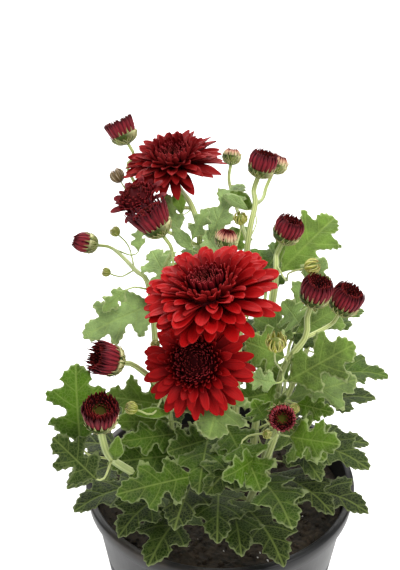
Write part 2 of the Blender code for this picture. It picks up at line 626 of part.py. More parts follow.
def cup(name, kind, place, radius, collection):
    """A calyx: a thin cup of bracts that follows the foot of its head, with a rim that runs up into teeth."""
    shares, teeth, tooth_height = CUPS[kind]
    outline = scaled(shares, radius)
    foot_height = outline[0][1] - GAP
    inner = [(0, foot_height)]
    inner += [(r + GAP, h - GAP * (1 - i / len(outline))) for i, (r, h) in enumerate(outline) if r > 0]
    outer = [(r + CUP_WALL, h - CUP_WALL * (1 - i / len(inner))) for i, (r, h) in enumerate(inner[1:-1])]
    rim = (inner[-1][0] + CUP_WALL * 0.5, inner[-1][1])
    outer_foot = (0, foot_height - CUP_FLOOR)
    outer[0] = (outer[0][0], min(outer[0][1], foot_height - CUP_FLOOR * 0.8))
    profile = [*inner[:-1], rim, *reversed(outer), outer_foot]
    whole = turned(name, profile, teeth * 2, collection)
    for vertex in whole.data.vertices:
        if vertex.co.z > (rim[1] - 0.01) * MM:
            angle = math.atan2(vertex.co.y, vertex.co.x)
            vertex.co.z += tooth_height * radius * MM * math.cos(teeth * angle)
    whole.data.transform(place)
    return whole


def green_bud(name, place, radius, collection):
    """A small closed bud of bracts."""
    whole = turned(name, scaled(CORES["green"], radius), 2 * GREEN_RIDGES, collection)
    ridged(whole, GREEN_RIDGES, GREEN_RIDGE)
    whole.data.transform(place)
    return whole


# Leaves. Half of a leaf's edge, as (share of the length, share of the width): two side lobes and a tip lobe
BROAD_EDGE = (
    (0.0, 0.04),
    (0.14, 0.33),
    (0.31, 0.45),
    (0.33, 0.18),
    (0.5, 0.38),
    (0.69, 0.49),
    (0.67, 0.19),
    (0.86, 0.25),
)
SMALL_EDGE = ((0.0, 0.05), (0.36, 0.44), (0.37, 0.17), (0.7, 0.49), (0.68, 0.18), (0.87, 0.22))
SLIM_EDGE = ((0.0, 0.12), (0.35, 0.48), (0.75, 0.36))
STALK_EDGE = ((-0.6, 0.03), (-0.3, 0.03))
BROAD_RIB = (0.3, 0.6, 0.84)
SMALL_RIB = (0.36, 0.7)
BROAD_FROM = 18
BROAD_ABOVE = 188
SLIM_UNDER = 9.5
LEAF_FOLD = 0.16
LEAF_WAVE = 0.05
LEAF_WAVES = 9

# Leaf stalks: how far below a leaf's base they would rather leave, in millimetres, what each millimetre above
# that counts for, and how far they run on straight behind the base, as a share of their length
STALK_DROP = 4
STALK_CLIMB = 1.5
STALK_BEND = 0.35


def leaf_frame(base, tip, face):
    """Along, across and out of a leaf, as unit directions."""
    along = (Vector(tip) - Vector(base)).normalized()
    out = Vector(face) - along * Vector(face).dot(along)
    out.normalize()
    return along, out.cross(along), out


def stalk_of_leaf(carrier, base, along):
    """The foot and the middle of a leaf's stalk, which leaves the nearest lower place on what carries it."""

    def cost(place):
        return (place - base).length + STALK_CLIMB * max(0.0, place.z - base.z + STALK_DROP)

    foot = min(carrier[2:], key=cost)
    bend = base - along * STALK_BEND * (base - foot).length
    return foot, (foot + 2 * bend + base) / 4


def leaf(name, carrier, base, tip, width, face, arch, collection):
    """A thin lobed leaf with its flat stalk, folded along its midrib, arched and a little waved."""
    base, tip = Vector(base), Vector(tip)
    broad = width >= BROAD_FROM and base.z > BROAD_ABOVE
    edge = BROAD_EDGE if broad else SMALL_EDGE if width > SLIM_UNDER else SLIM_EDGE
    ribs = BROAD_RIB if broad else SMALL_RIB
    half = [Vector(point) for point in (*STALK_EDGE, *edge)]
    outline = [*half, Vector((1.0, 0.0)), *(Vector((s, -y)) for s, y in reversed(half))]
    points = [*outline, *(Vector((share, 0.0)) for share in ribs)]
    count = len(outline)
    rib = [count + i for i in range(len(ribs))]
    edges = list(zip(rib, [*rib[1:], len(half)]))
    flat = geometry.delaunay_2d_cdt(points, edges, [list(range(count))], 1, 1e-6)
    along, across, out = leaf_frame(base, tip, face)
    length = (tip - base).length
    foot, middle = stalk_of_leaf(carrier, base, along)
    stalk = {STALK_EDGE[0][0]: (foot, middle - foot), STALK_EDGE[1][0]: (middle, base - foot)}
    mesh_points = []
    for share, offset in flat[0]:
        if share < -0.01:
            place, direction = stalk[min(stalk, key=lambda key: abs(key - share))]
            sideways = across - direction * across.dot(direction) / direction.length_squared
            mesh_points.append((place + sideways.normalized() * math.copysign(PETIOLE_RADIUS, offset)) * MM)
            continue
        bulge = arch * length * 4 * share * (1 - share)
        fold = LEAF_FOLD * abs(offset) * width
        wave = LEAF_WAVE * width * abs(offset) * math.sin(LEAF_WAVES * share + 2 * jitter(width, length))
        place = base + along * share * length + across * offset * width + out * (bulge + fold + wave)
        mesh_points.append(place * MM)
    mesh = bpy.data.meshes.new(name)
    mesh.from_pydata(mesh_points, [], flat[2])
    made = object_from(name, mesh, collection)
    thick = made.modifiers.new("thick", "SOLIDIFY")
    thick.thickness = LEAF_THICK * MM
    thick.offset = 0
    return settled(made)


# Stems
def head_foot(kind, radius):
    """How far below a head's middle its stalk ends, in millimetres."""
    if kind == "green":
        return radius
    return -CUPS[kind][0][0][1] * radius + GAP + CUP_FLOOR


def stem_of(head):
    """The main stem that a head's stalk grows from."""
    carrier = HEADS[head][4]
    return carrier if carrier in ROOTS else stem_of(carrier)


def stalk_paths():
    """The path of every head's stalk, in millimetres, by the head's name."""
    paths = {}
    leaders_first = sorted(HEADS.items(), key=lambda row: row[1][4] not in ROOTS)
    for name, (kind, middle, facing, diameter, carrier, share) in leaders_first:
        facing = Vector(facing).normalized()
        foot = Vector(middle) - facing * head_foot(kind, diameter / 2)
        sink = CUP_SINK if kind != "green" else GREEN_SINK * diameter
        end = foot + facing * sink
        if carrier in ROOTS:
            (x, y), way = ROOTS[carrier]
            start = [Vector((x, y, SOIL_TOP - HOLE_DEPTH + GAP)), Vector((x, y, SOIL_TOP + UPRIGHT))]
            lead = HEAD_LEAD
            step = MAIN_STEP
        else:
            start = [paths[carrier][round(share * (len(paths[carrier]) - 1))]]
            way = BENDS.get(name, [])
            lead = min(HEAD_LEAD, 0.3 * (start[0] - end).length)
            step = SIDE_STEP
        paths[name] = curve_through([*start, *map(Vector, way), foot - facing * lead, end], step)
    return paths


def leafy_stem(name, paths, target):
    """One stem with its side stalks, calyx cups, small green buds and leaves, as one body."""
    pieces = []
    for head, (kind, middle, facing, diameter, carrier, _) in HEADS.items():
        if stem_of(head) != name:
            continue
        place = standing(middle, facing)
        if carrier == name:
            neck = SLIM_NECK_RADIUS if name == SLIM_STEM else NECK_RADIUS
            pieces.insert(0, tube(name, paths[head], ROOT_RADIUS, neck, 1, target))
        else:
            thin = STALK_RADIUS if kind != "green" else BUD_STALK_RADIUS
            pieces.append(tube(head, paths[head], thin * STALK_TAPER, thin, 0, target))
        if kind == "green":
            pieces.append(green_bud(head, place, diameter / 2, target))
        else:
            pieces.append(cup(head, kind, place, diameter / 2, target))
    for row, (carrier, base, tip, width, face, arch) in LEAVES.items():
        if stem_of(carrier) == name:
            pieces.append(leaf(row, paths[carrier], base, tip, width, face, arch, target))
    top = next(head for head, row in HEADS.items() if row[4] == name)
    for stem, azimuth, base_radius, base_height, tip_radius, tip_height, width in LOWER_LEAVES:
        if stem == name:
            out = Vector((math.cos(math.radians(azimuth)), math.sin(math.radians(azimuth)), 0))
            base = out * base_radius + Vector((0, 0, base_height))
            tip = out * tip_radius + Vector((0, 0, tip_height))
            face = Vector((0, 0, 1)) - out * LOWER_TILT
            pieces.append(leaf("lower", paths[top], base, tip, width, face, LOWER_ARCH, target))
    return fused(name, pieces, target)


def main():
    for old in list(bpy.data.objects):
        bpy.data.objects.remove(old)
    parts = bpy.data.collections.new("pot_chrysanthemum")
    bpy.context.scene.collection.children.link(parts)
    holder = bpy.data.objects.new("pot_chrysanthemum", None)
    parts.objects.link(holder)
    black = material("black_pot", (0.02, 0.02, 0.022), 0.45)
    earth = material("soil", (0.05, 0.03, 0.02), 0.95)
    green = material("leaf_green", (0.16, 0.3, 0.09), 0.55)
    red = material("petal_red", (0.6, 0.01, 0.02), 0.5)
    wine = material("bud_wine", (0.22, 0.01, 0.04), 0.5)
    dark = material("heart_dark", (0.06, 0.005, 0.01), 0.6)

    made = [(pot(parts), black), (soil(parts), earth)]
    paths = stalk_paths()
    for name in ROOTS:
        made.append((leafy_stem(name, paths, parts), green))
    for name, (kind, middle, facing, diameter, _, _) in HEADS.items():
        place = standing(middle, facing)
        if kind in BUD_KINDS:
            made.append((bud(name, kind, place, diameter / 2, parts), wine))
        elif kind != "green":
            made.append((corolla(name, kind, place, diameter / 2, parts), red))
            if kind == "bloom":
                made.append((heart(name.replace("bloom", "heart"), place, diameter / 2, parts), dark))
    for piece, colour in made:
        piece.data.materials.clear()
        piece.data.materials.append(colour)
        piece.parent = holder


main()
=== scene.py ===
"""Pot chrysanthemum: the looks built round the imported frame, with a fine piece in place of each CAD node.

The frame is in metres. The tables and shapes below are in millimetres, and MM turns them into metres. The
tables are those of the part's source, so each piece lies where its solid lies.
"""

import math
import random

import bpy
import numpy as np
from mathutils import Matrix, Vector, geometry, noise


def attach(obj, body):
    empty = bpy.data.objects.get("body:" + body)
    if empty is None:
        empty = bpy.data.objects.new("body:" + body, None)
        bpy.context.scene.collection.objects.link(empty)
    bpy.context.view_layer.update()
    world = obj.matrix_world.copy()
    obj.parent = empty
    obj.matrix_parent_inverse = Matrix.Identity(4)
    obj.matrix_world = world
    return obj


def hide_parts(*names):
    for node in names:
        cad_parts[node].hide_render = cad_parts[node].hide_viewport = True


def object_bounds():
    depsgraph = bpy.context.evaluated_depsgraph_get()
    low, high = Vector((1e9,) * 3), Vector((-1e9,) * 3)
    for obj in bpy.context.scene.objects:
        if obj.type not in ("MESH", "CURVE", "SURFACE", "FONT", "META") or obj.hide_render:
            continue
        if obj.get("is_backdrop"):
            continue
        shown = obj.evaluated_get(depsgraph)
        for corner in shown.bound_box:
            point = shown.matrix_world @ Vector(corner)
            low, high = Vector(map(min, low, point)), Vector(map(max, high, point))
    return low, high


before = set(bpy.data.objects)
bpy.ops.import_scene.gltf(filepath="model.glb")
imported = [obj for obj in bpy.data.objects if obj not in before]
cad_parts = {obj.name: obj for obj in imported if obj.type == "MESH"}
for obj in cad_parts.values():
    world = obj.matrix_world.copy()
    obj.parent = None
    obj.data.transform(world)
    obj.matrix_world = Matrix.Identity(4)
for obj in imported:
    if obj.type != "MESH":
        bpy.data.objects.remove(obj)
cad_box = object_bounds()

MM = 0.001
BOX_MARGIN = np.array((0.0001, 0.0001, 0.0))
UP = np.array((0.0, 0.0, 1.0))
FULL_TURN = 2 * math.pi

# Each main stem: where it stands in the soil, and the way points that it passes on its way up
ROOTS = {
    "stem_front": ((-4, -22), [(-3, -30, 170), (-2, -38, 225), (-2, -42, 248)]),
    "stem_left": ((-27, 6), [(-33, 8, 180), (-37, 16, 230), (-45, 28, 235)]),
    "stem_left_front": ((-22, -12), [(-25, -30, 170), (-28, -48, 210)]),
    "stem_low_left": ((-27, -26), [(-38, -52, 160), (-51, -80, 197)]),
    "stem_rear_left": ((-9, 16), [(-10, 30, 180), (-11, 54, 235), (-15, 64, 253)]),
    "stem_rear_right": ((8, 19), [(10, 26, 190), (14, 37, 246), (18, 50, 262)]),
    "stem_right": ((17, 5), [(21, 0, 190), (26, 0, 238), (27, 7, 250)]),
    "stem_right_front": ((23, -10), [(26, -24, 170), (28, -42, 219), (38, -42, 238)]),
    "stem_low_right": ((12, -27), [(18, -50, 160), (25, -60, 197)]),
    "stem_back": ((-3, 33), [(-4, 46, 150), (-6, 66, 182)]),
    "stem_back_right": ((26, 24), [(36, 36, 140), (50, 54, 168)]),
}

# Each head: kind, middle, facing, diameter, the stem or head's stalk that carries it, and where as a share
HEADS = {
    "bloom_main": ("bloom", (-7, -56, 272), (-0.22, -0.14, 1), 61, "stem_front", 1),
    "bloom_lower": ("bloom", (-13.5, -58, 235), (-0.16, -0.8, 0.58), 52, "bloom_main", 0.6),
    "bloom_rear": ("bloom", (-26, 86, 273), (-0.16, -0.16, 1), 54, "stem_rear_left", 1),
    "bloom_back": ("bloom", (-8, 88, 190), (-0.05, 0.8, 0.6), 50, "stem_back", 1),
    "bloom_half": ("half", (-44, 47, 268), (-0.35, -0.35, 0.87), 27, "bloom_rear", 0.62),
    "bloom_opening": ("opening", (-33.5, 12, 271), (-0.5, 0.15, 0.82), 20.5, "bud_left", 0.6),
    "bud_rear_left": ("bud", (-55, 106, 281.5), (-0.42, 0.3, 0.86), 16.3, "bloom_rear", 0.72),
    "bud_left": ("shut", (-74, 55, 237), (-0.93, -0.16, 0.32), 11.8, "stem_left", 1),
    "bud_left_front": ("bud", (-53, -60, 238), (-0.79, -0.35, 0.49), 15.3, "stem_left_front", 1),
    "bud_low_left": ("bud", (-54, -89, 229), (0.03, -0.28, 0.96), 16, "stem_low_left", 1),
    "bud_rear_right": ("bud", (22, 61, 281), (0.27, 0.07, 0.95), 15.3, "stem_rear_right", 1),
    "bud_rear_behind": ("button", (31, 78, 274), (0.4, 0.3, 0.87), 11.9, "bud_rear_right", 0.78),
    "bud_rear_middle": ("button", (7, 102, 268), (0.12, 0.45, 0.88), 10.2, "bud_rear_right", 0.66),
    "bud_right": ("bud", (33, 14, 266), (0.35, -0.03, 0.94), 14.9, "stem_right", 1),
    "bud_right_front": ("bud", (42, -40, 262), (0.2, -0.13, 0.97), 15, "stem_right_front", 1),
    "bud_far_right": ("bud", (57, -34, 254), (0.35, -0.1, 0.93), 15.3, "bud_right_front", 0.8),
    "bud_low_front": ("bud", (26, -73, 215), (0.05, -0.87, 0.48), 12.2, "stem_low_right", 1),
    "bud_middle": ("button", (2, 7, 265), (0.15, 0.1, 0.98), 10.8, "bud_rear_right", 0.55),
    "bud_back_right": ("bud", (60, 70, 187), (0.55, 0.5, 0.66), 14, "stem_back_right", 1),
    "bud_back_upper": ("bud", (34, 90, 206), (0.4, 0.5, 0.75), 13, "bloom_back", 0.55),
    "bud_back_low": ("button", (46, 88, 160), (0.3, 0.75, 0.6), 12, "bud_back_right", 0.45),
    "tip_upper_left": ("green", (-57, 87, 262), (-0.5, 0.3, 0.8), 8.3, "bud_rear_left", 0.55),
    "tip_left": ("green", (-57, 58, 242), (-0.6, 0.1, 0.7), 5.6, "bud_left", 0.8),
    "tip_left_low": ("green", (-61, 38, 228), (-0.9, -0.1, 0.4), 4.8, "bud_left", 0.74),
    "tip_left_front": ("green", (-42, -71, 219), (-0.85, -0.2, 0.45), 5.9, "bud_left_front", 0.62),
    "tip_centre_left": ("green", (-32, -40, 233), (-0.3, 0, 0.95), 4.4, "bud_left_front", 0.66),
    "tip_right": ("green", (41, -26, 267), (0.85, -0.2, 0.4), 7, "bud_right", 0.72),
    "tip_centre": ("green", (23, -61, 247), (0, -0.3, 0.95), 7.6, "bud_right_front", 0.62),
    "tip_rear": ("green", (10, 39, 259), (0, -0.3, 0.95), 6.2, "bud_middle", 0.4),
    "tip_low_right": ("green", (33, -58, 209), (0.4, -0.2, 0.9), 4.8, "bud_low_front", 0.72),
    "tip_low_front": ("green", (19, -80, 211), (-0.3, -0.6, 0.7), 4.2, "bud_low_front", 0.8),
    "tip_back": ("green", (-36, 84, 170), (-0.6, 0.5, 0.6), 7, "bloom_back", 0.6),
    "tip_back_right": ("green", (66, 50, 172), (0.8, 0.1, 0.6), 6.5, "bud_back_right", 0.6),
}

# Way points of the side stalks that bend on their way
BENDS = {
    "bloom_opening": [(-28, 16, 246)],
    "bud_rear_left": [(-38, 84, 246), (-52, 103, 259)],
    "bloom_half": [(-30, 50, 247)],
    "bud_rear_behind": [(23, 66, 258)],
    "bud_rear_middle": [(8, 80, 250)],
    "bud_middle": [(4, 14, 245)],
    "bud_far_right": [(46, -37, 239)],
    "tip_right": [(31, -8, 249)],
    "tip_upper_left": [(-52, 84, 256)],
    "bloom_lower": [(-8, -44, 223)],
    "bud_back_upper": [(22, 66, 186)],
}

# Leaves that show in front view: carrying head, base, tip, width, facing, arch, and green from -1 to 1.2
# The green is partly each leaf's own tone and partly painted shade and light: low leaves darker, rear leaves
# paler
LEAVES = {
    "left_big": ("bud_left", (-34, 19, 220), (-71, 2, 210), 29, (-0.1, -0.7, 0.7), 0.08, 0.95),
    "left_curl": ("bud_left", (-49, 12, 232), (-60, 2, 225), 11, (-0.2, -0.8, 0.6), 0.1, 0.8),
    "left_upper": ("bud_left", (-44, 45, 237), (-43, 62, 243), 10, (-0.3, -0.7, 0.6), 0.05, 0.88),
    "centre_left": ("bloom_opening", (-25, 6, 236), (-36, 26, 248), 20, (0.1, -0.9, 0.4), 0.06, 0.95),
    "front_left": ("bud_low_left", (-65, -80, 205), (-67, -62, 237), 28, (0, -0.9, 0.5), 0.05, -0.35),
    "front_left_low": ("bud_low_left", (-57, -93, 196), (-76, -86, 214), 20, (0, -0.7, 0.7), 0.06, -0.75),
    "low_left_slim": ("bud_low_left", (-49, -88, 203), (-47, -88, 216), 7, (0, -1, 0.2), 0.05, 0.3),
    "left_front": ("bud_left_front", (-24, -44, 200), (-57, -40, 203), 22, (0.1, -0.7, 0.7), 0.07, 0.45),
    "left_front_low": ("bud_left_front", (-22, -52, 190), (-48, -66, 196), 17, (0, -0.8, 0.6), 0.07, 0.0),
    "left_front_slim": ("bud_left_front", (-25, -64, 211), (-41, -67, 213), 6, (0, -0.7, 0.7), 0.04, 0.2),
    "front": ("bloom_lower", (0, -50, 218), (-7, -75, 205), 33, (0, -0.8, 0.6), 0.02, 0.75),
    "front_low": ("bloom_main", (-14, -74, 182), (-48, -96, 190), 24, (0, -0.7, 0.7), 0.06, -0.2),
    "low_right": ("bud_low_front", (14, -78, 196), (-1, -97, 200), 16, (0.1, -0.9, 0.4), 0.06, 0.0),
    "low_right_bright": ("bud_low_front", (30, -74, 205), (51, -86, 210), 20, (0.1, -0.8, 0.6), 0.06, 0.25),
    "low_centre": ("bud_low_front", (19, -63, 207), (13, -69, 222), 14, (0.1, -0.9, 0.3), 0.06, 0.1),
    "low_front": ("bud_low_front", (8, -68, 196), (16, -96, 192), 24, (0, -0.6, 0.8), 0.06, -0.1),
    "mid_centre": ("bud_right_front", (25, -41, 206), (6, -47, 206), 20, (0, -0.8, 0.6), 0.06, 0.2),
    "mid_front": ("bloom_main", (0, -44, 192), (9, -67, 187), 26, (0, -0.6, 0.8), 0.06, -0.2),
    "mid_right": ("bud_right_front", (30, -40, 186), (48, -64, 184), 30, (0, -0.6, 0.8), 0.06, 0.25),
    "right_front_low": ("bud_right_front", (35, -50, 206), (51, -61, 209), 13, (0, -0.8, 0.6), 0.07, 0.15),
    "right_front_big": ("bud_right_front", (30, -50, 219), (62, -38, 232), 27, (0.2, -0.7, 0.7), 0.09, 0.62),
    "right_lower": ("bud_right_front", (33, -32, 196), (67, -24, 202), 25, (0.1, -0.75, 0.66), 0.08, 0.8),
    "right_mid": ("bud_right", (38, -10, 226), (29, -18, 243), 20, (0.1, -0.85, 0.5), 0.07, 0.8),
    "right_side": ("bud_right", (38, 0, 214), (66, 12, 226), 22, (0.2, -0.75, 0.6), 0.07, 0.7),
    "centre_right": ("bud_right_front", (28, -46, 230), (10, -46, 239), 24, (0, -0.85, 0.5), 0.07, 0.65),
    "under_main": ("bud_right_front", (24, -56, 222), (9, -60, 229), 12, (0, -0.85, 0.5), 0.06, 0.9),
    "rear_right_big": ("bud_right", (31, 28, 234), (62, 60, 250), 33, (0.1, -0.7, 0.7), 0.09, 0.6),
    "rear_right_slim": ("bud_right", (29, 20, 243), (31, 30, 258), 6, (0, -0.9, 0.4), 0.04, 0.6),
    "rear_long": ("bud_rear_right", (-6, 46, 243), (13, 77, 262), 17, (-0.2, -0.6, 0.75), 0.14, 0.95),
    "rear_thin": ("bud_rear_right", (14, 52, 258), (1, 62, 262), 7, (0, -0.7, 0.7), 0.12, 0.9),
    "rear_fork": ("bloom_rear", (-15, 42, 246), (-7, 50, 260), 12, (0, -0.85, 0.5), 0.06, 0.9),
    "rear_fresh": ("bloom_rear", (-21, 60, 252), (-24, 68, 263), 8, (0, -0.85, 0.5), 0.04, 0.6),
    "rear_green": ("bud_rear_right", (17, 57, 256), (5, 67, 262), 9, (0, -0.8, 0.6), 0.05, 0.45),
    "rear_dark": ("bud_rear_right", (6, 54, 236), (-5, 70, 243), 13, (0, -0.85, 0.5), 0.05, 0.45),
    "rear_light": ("bud_middle", (2, 36, 234), (-9, 52, 246), 14, (0, -0.85, 0.5), 0.06, 1.1),
    "rear_left": ("bloom_rear", (-22, 58, 240), (-31, 78, 256), 13, (0, -0.85, 0.5), 0.06, 1.05),
    "rear_left_slim": ("bloom_rear", (-15, 44, 238), (-26, 52, 248), 8, (0, -0.85, 0.5), 0.05, 1.0),
}

# Smaller leaves that fill the room between the larger ones, with the same values
FILL_LEAVES = [
    ("bud_right", (37, 4, 226), (53, 22, 246), 17, (0, -0.8, 0.6), 0.07, 0.8),
    ("bud_right", (36, -4, 214), (16, -8, 228), 22, (0, -0.85, 0.5), 0.06, 0.75),
    ("bud_right_front", (32, -34, 208), (14, -30, 221), 20, (0, -0.85, 0.5), 0.06, 0.6),
    ("bud_left_front", (-26, -50, 196), (-50, -56, 200), 18, (0, -0.8, 0.6), 0.06, 0.3),
    ("bud_rear_right", (5, 46, 236), (15, 62, 243), 14, (0, -0.8, 0.6), 0.06, 0.6),
    ("bloom_opening", (-21, 20, 232), (-36, 40, 240), 15, (0, -0.85, 0.5), 0.06, 0.9),
    ("bud_left_front", (-24, -54, 178), (-55, -62, 180), 24, (0, -0.7, 0.7), 0.06, -0.05),
    ("bloom_lower", (-8, -52, 186), (-26, -66, 190), 22, (0, -0.75, 0.66), 0.06, 0.1),
    ("bloom_lower", (-6, -44, 176), (-34, -54, 176), 24, (0, -0.6, 0.8), 0.06, -0.6),
    ("bud_right_front", (28, -46, 196), (14, -40, 210), 18, (0, -0.8, 0.6), 0.06, 0.3),
    ("bud_low_front", (10, -58, 184), (-8, -84, 180), 24, (0, -0.6, 0.8), 0.06, -0.5),
]

# Lower leaves, in tiers: stem, azimuth in degrees from +X, radius and height of base and of tip, width
LOWER_LEAVES = [
    ("stem_right", 12, 36, 125, 86, 130, 32),
    ("stem_back_right", 52, 40, 127, 88, 131, 31),
    ("stem_back", 90, 42, 125, 88, 129, 32),
    ("stem_rear_left", 130, 34, 126, 82, 130, 32),
    ("stem_left", 170, 38, 126, 86, 131, 32),
    ("stem_left_front", 208, 36, 128, 86, 132, 32),
    ("stem_low_left", 246, 40, 129, 88, 133, 31),
    ("stem_low_right", 290, 38, 128, 86, 133, 32),
    ("stem_right_front", 332, 38, 126, 86, 131, 32),
    ("stem_right", 2, 36, 160, 82, 172, 31),
    ("stem_back_right", 36, 52, 152, 98, 162, 30),
    ("stem_back", 104, 54, 152, 100, 158, 31),
    ("stem_back", 72, 52, 160, 96, 170, 28),
    ("stem_low_left", 222, 54, 158, 100, 170, 30),
    ("stem_front", 256, 46, 158, 94, 166, 31),
    ("stem_low_right", 288, 54, 162, 100, 170, 30),
    ("stem_right_front", 322, 42, 162, 90, 172, 32),
    ("stem_right", 26, 42, 190, 86, 206, 30),
    ("stem_rear_right", 80, 46, 196, 88, 210, 28),
    ("stem_rear_right", 62, 40, 213, 78, 230, 28),
    ("stem_rear_left", 100, 58, 202, 95, 214, 27),
    ("stem_left", 196, 44, 172, 80, 181, 26),
    ("stem_right", 354, 46, 186, 86, 194, 28),
    ("stem_front", 262, 44, 184, 84, 180, 28),
    ("stem_low_right", 276, 42, 140, 84, 142, 27),
    ("stem_right_front", 306, 40, 176, 80, 172, 26),
    ("stem_low_left", 236, 46, 142, 90, 146, 28),
    ("stem_low_right", 268, 42, 148, 84, 151, 28),
    ("stem_right_front", 310, 40, 147, 84, 151, 28),
]
LOWER_ARCH = 0.1
LOWER_TILT = 0.25

# Fine shapes: samples along the blades, thicknesses in millimetres, and the finish of the forms
PETAL_SAMPLES = np.array((0, 0.12, 0.24, 0.36, 0.48, 0.6, 0.71, 0.81, 0.89, 0.95, 0.985, 1.0))
FLORET_SAMPLES = np.array((0, 0.2, 0.4, 0.6, 0.78, 0.92, 1.0))
STRIP_SAMPLES = np.array((0, 0.14, 0.28, 0.42, 0.56, 0.68, 0.78, 0.87, 0.94, 1.0))
PETAL_THICK = 0.45
FLORET_THICK = 0.3
BRACT_THICK = 0.35
BLADE_THINNING = 0.7
PETAL_RIDGE = 0.1
RIDGE_TURN = 2.5 * np.pi
PETAL_ACROSS = 7
STRIP_ACROSS = 5
RISE_POWER = 1.4
FOOT_POWER = 1.3
POINT_POWER = 0.75
PETAL_END = 1.012
LEAST_TIP = 0.02
OUTLINE_STEP = 0.04
HAIR_RADIUS = 0.035
HAIR_SIDES = (0, 2.094, 4.189)
HAIR_TURN = (0.31, 0.52, 0.79)
HAIR_SINK = 0.9
HAIR_LEANS = (-0.3, 0.5)
HAIR_LENGTHS = (0.6, 1.2)
CORE_SEGMENTS = 24
DOME_SEGMENTS = 20
GREEN_SEGMENTS = 16
POT_SEGMENTS = 128
LUMP_SEGMENTS = 6

# Rows of petals in shares of the head's radius: number, start, length, width, rise at root and tip in degrees
PETAL_ROWS = {
    "bloom_main": (
        (19, 0.24, -0.15, 0.79, 0.2, 4, -7),
        (19, 0.24, -0.13, 0.78, 0.205, 11, -2),
        (18, 0.25, -0.11, 0.73, 0.205, 17, 3),
        (17, 0.25, -0.08, 0.66, 0.2, 24, 8),
        (16, 0.26, -0.06, 0.58, 0.19, 31, 14),
        (15, 0.27, -0.04, 0.48, 0.165, 40, 22),
        (13, 0.28, -0.02, 0.39, 0.15, 50, 36),
        (13, 0.29, 0.0, 0.32, 0.12, 58, 54),
        (16, 0.28, 0.02, 0.25, 0.085, 62, 76),
        (19, 0.27, 0.03, 0.21, 0.065, 68, 92),
    ),
    "bloom_lower": (
        (17, 0.3, -0.15, 0.74, 0.215, 0, -10),
        (17, 0.31, -0.12, 0.7, 0.21, 8, -4),
        (15, 0.33, -0.08, 0.57, 0.2, 19, 6),
        (11, 0.36, -0.05, 0.38, 0.17, 36, 22),
        (20, 0.38, -0.02, 0.25, 0.1, 48, 62),
        (24, 0.37, 0.0, 0.21, 0.075, 58, 84),
        (26, 0.35, 0.01, 0.18, 0.06, 66, 96),
    ),
    "bloom_rear": (
        (17, 0.24, -0.15, 0.83, 0.25, -2, -12),
        (17, 0.24, -0.13, 0.8, 0.25, 6, -5),
        (16, 0.25, -0.1, 0.73, 0.24, 13, 0),
        (15, 0.26, -0.07, 0.61, 0.22, 22, 8),
        (14, 0.28, -0.04, 0.49, 0.2, 32, 20),
        (13, 0.3, -0.02, 0.4, 0.17, 46, 40),
        (15, 0.32, 0.0, 0.35, 0.13, 62, 78),
        (17, 0.31, 0.02, 0.3, 0.1, 74, 110),
    ),
    "bloom_half": (
        (9, 0.4, -0.36, 0.84, 0.32, 28, -4),
        (11, 0.46, -0.36, 0.6, 0.26, 44, 34),
        (17, 0.52, -0.34, 0.46, 0.2, 62, 84),
    ),
}
PETAL_ROWS["bloom_back"] = PETAL_ROWS["bloom_main"]

# How petals look: how pointed their tips are, how channelled the inner ones, how much they differ
PETAL_LOOKS = {
    "bloom_main": (0.12, 0.5, 1.1),
    "bloom_lower": (0.45, 0.4, 1.0),
    "bloom_rear": (0.7, 0.45, 1.1),
    "bloom_back": (0.3, 0.5, 1.0),
    "bloom_half": (0.4, 0.5, 0.6),
}

# The lower bloom's petals that rise towards the main bloom are shorter, and those on its right are longer
LOWER_BLOOM = "bloom_lower"
CROWDED_SIDE = (0, 0.58, 0.8)
CROWDED_SHARE = 0.34
LONGER_RIGHT = 0.09

# Solid cores under the petals, from the top down
CORES = {
    "bloom": ((0, 0.02), (0.36, 0.02), (0.36, -0.12), (0.3, -0.22), (0.21, -0.29), (0, -0.34)),
    "half": (
        (0, 0.22), (0.2, 0.26), (0.46, 0.14), (0.6, -0.1),
        (0.62, -0.26), (0.45, -0.42), (0.3, -0.5), (0, -0.56),
    ),
}

# Young florets: number, left out in the middle, radius, height at edge and middle, length, width, edge rises
HEARTS = {
    "bloom_main": (150, 4, 0.22, 0.09, 0.11, 0.22, 0.05, 70, 104),
    "bloom_lower": (200, 7, 0.3, 0.05, 0.035, 0.18, 0.05, 58, 94),
    "bloom_rear": (150, 5, 0.29, 0.03, 0.02, 0.21, 0.072, 64, 112),
    "bloom_back": (190, 6, 0.26, 0.03, 0.02, 0.19, 0.05, 66, 98),
    "bloom_half": (210, 16, 0.64, -0.2, 0.24, 0.25, 0.1, 26, 76),
    "bloom_opening": (110, 4, 0.74, 0.42, 0.62, 0.26, 0.12, 56, 88),
}

# Red buds: strips in a ring, radius of the rim, how far and how unevenly the tips rise, green of the hollow
BUD_LOOKS = {
    "bloom_opening": (21, 0.98, 0.08, 0.2, 0.0),
    "bud_rear_left": (22, 1.0, -0.12, 0.08, 0.0),
    "bud_left": (15, 0.4, 0.0, 0.1, 0.1),
    "bud_left_front": (24, 0.84, -0.02, 0.24, 0.0),
    "bud_low_left": (26, 0.92, -0.14, 0.17, 0.7),
    "bud_rear_right": (21, 0.74, -0.02, 0.07, 0.0),
    "bud_rear_behind": (18, 0.5, 0.0, 0.04, 0.2),
    "bud_rear_middle": (17, 0.5, 0.0, 0.04, 0.2),
    "bud_right": (22, 0.72, -0.02, 0.1, 0.0),
    "bud_right_front": (23, 0.76, -0.03, 0.12, 0.0),
    "bud_far_right": (23, 0.76, -0.03, 0.12, 0.0),
    "bud_low_front": (22, 0.8, -0.04, 0.14, 1.0),
    "bud_middle": (18, 0.55, 0.0, 0.05, 0.2),
    "bud_back_right": (22, 0.84, 0.02, 0.16, 0.1),
    "bud_back_upper": (22, 0.82, 0.02, 0.18, 0.1),
    "bud_back_low": (18, 0.5, 0.05, 0.04, 0.2),
}

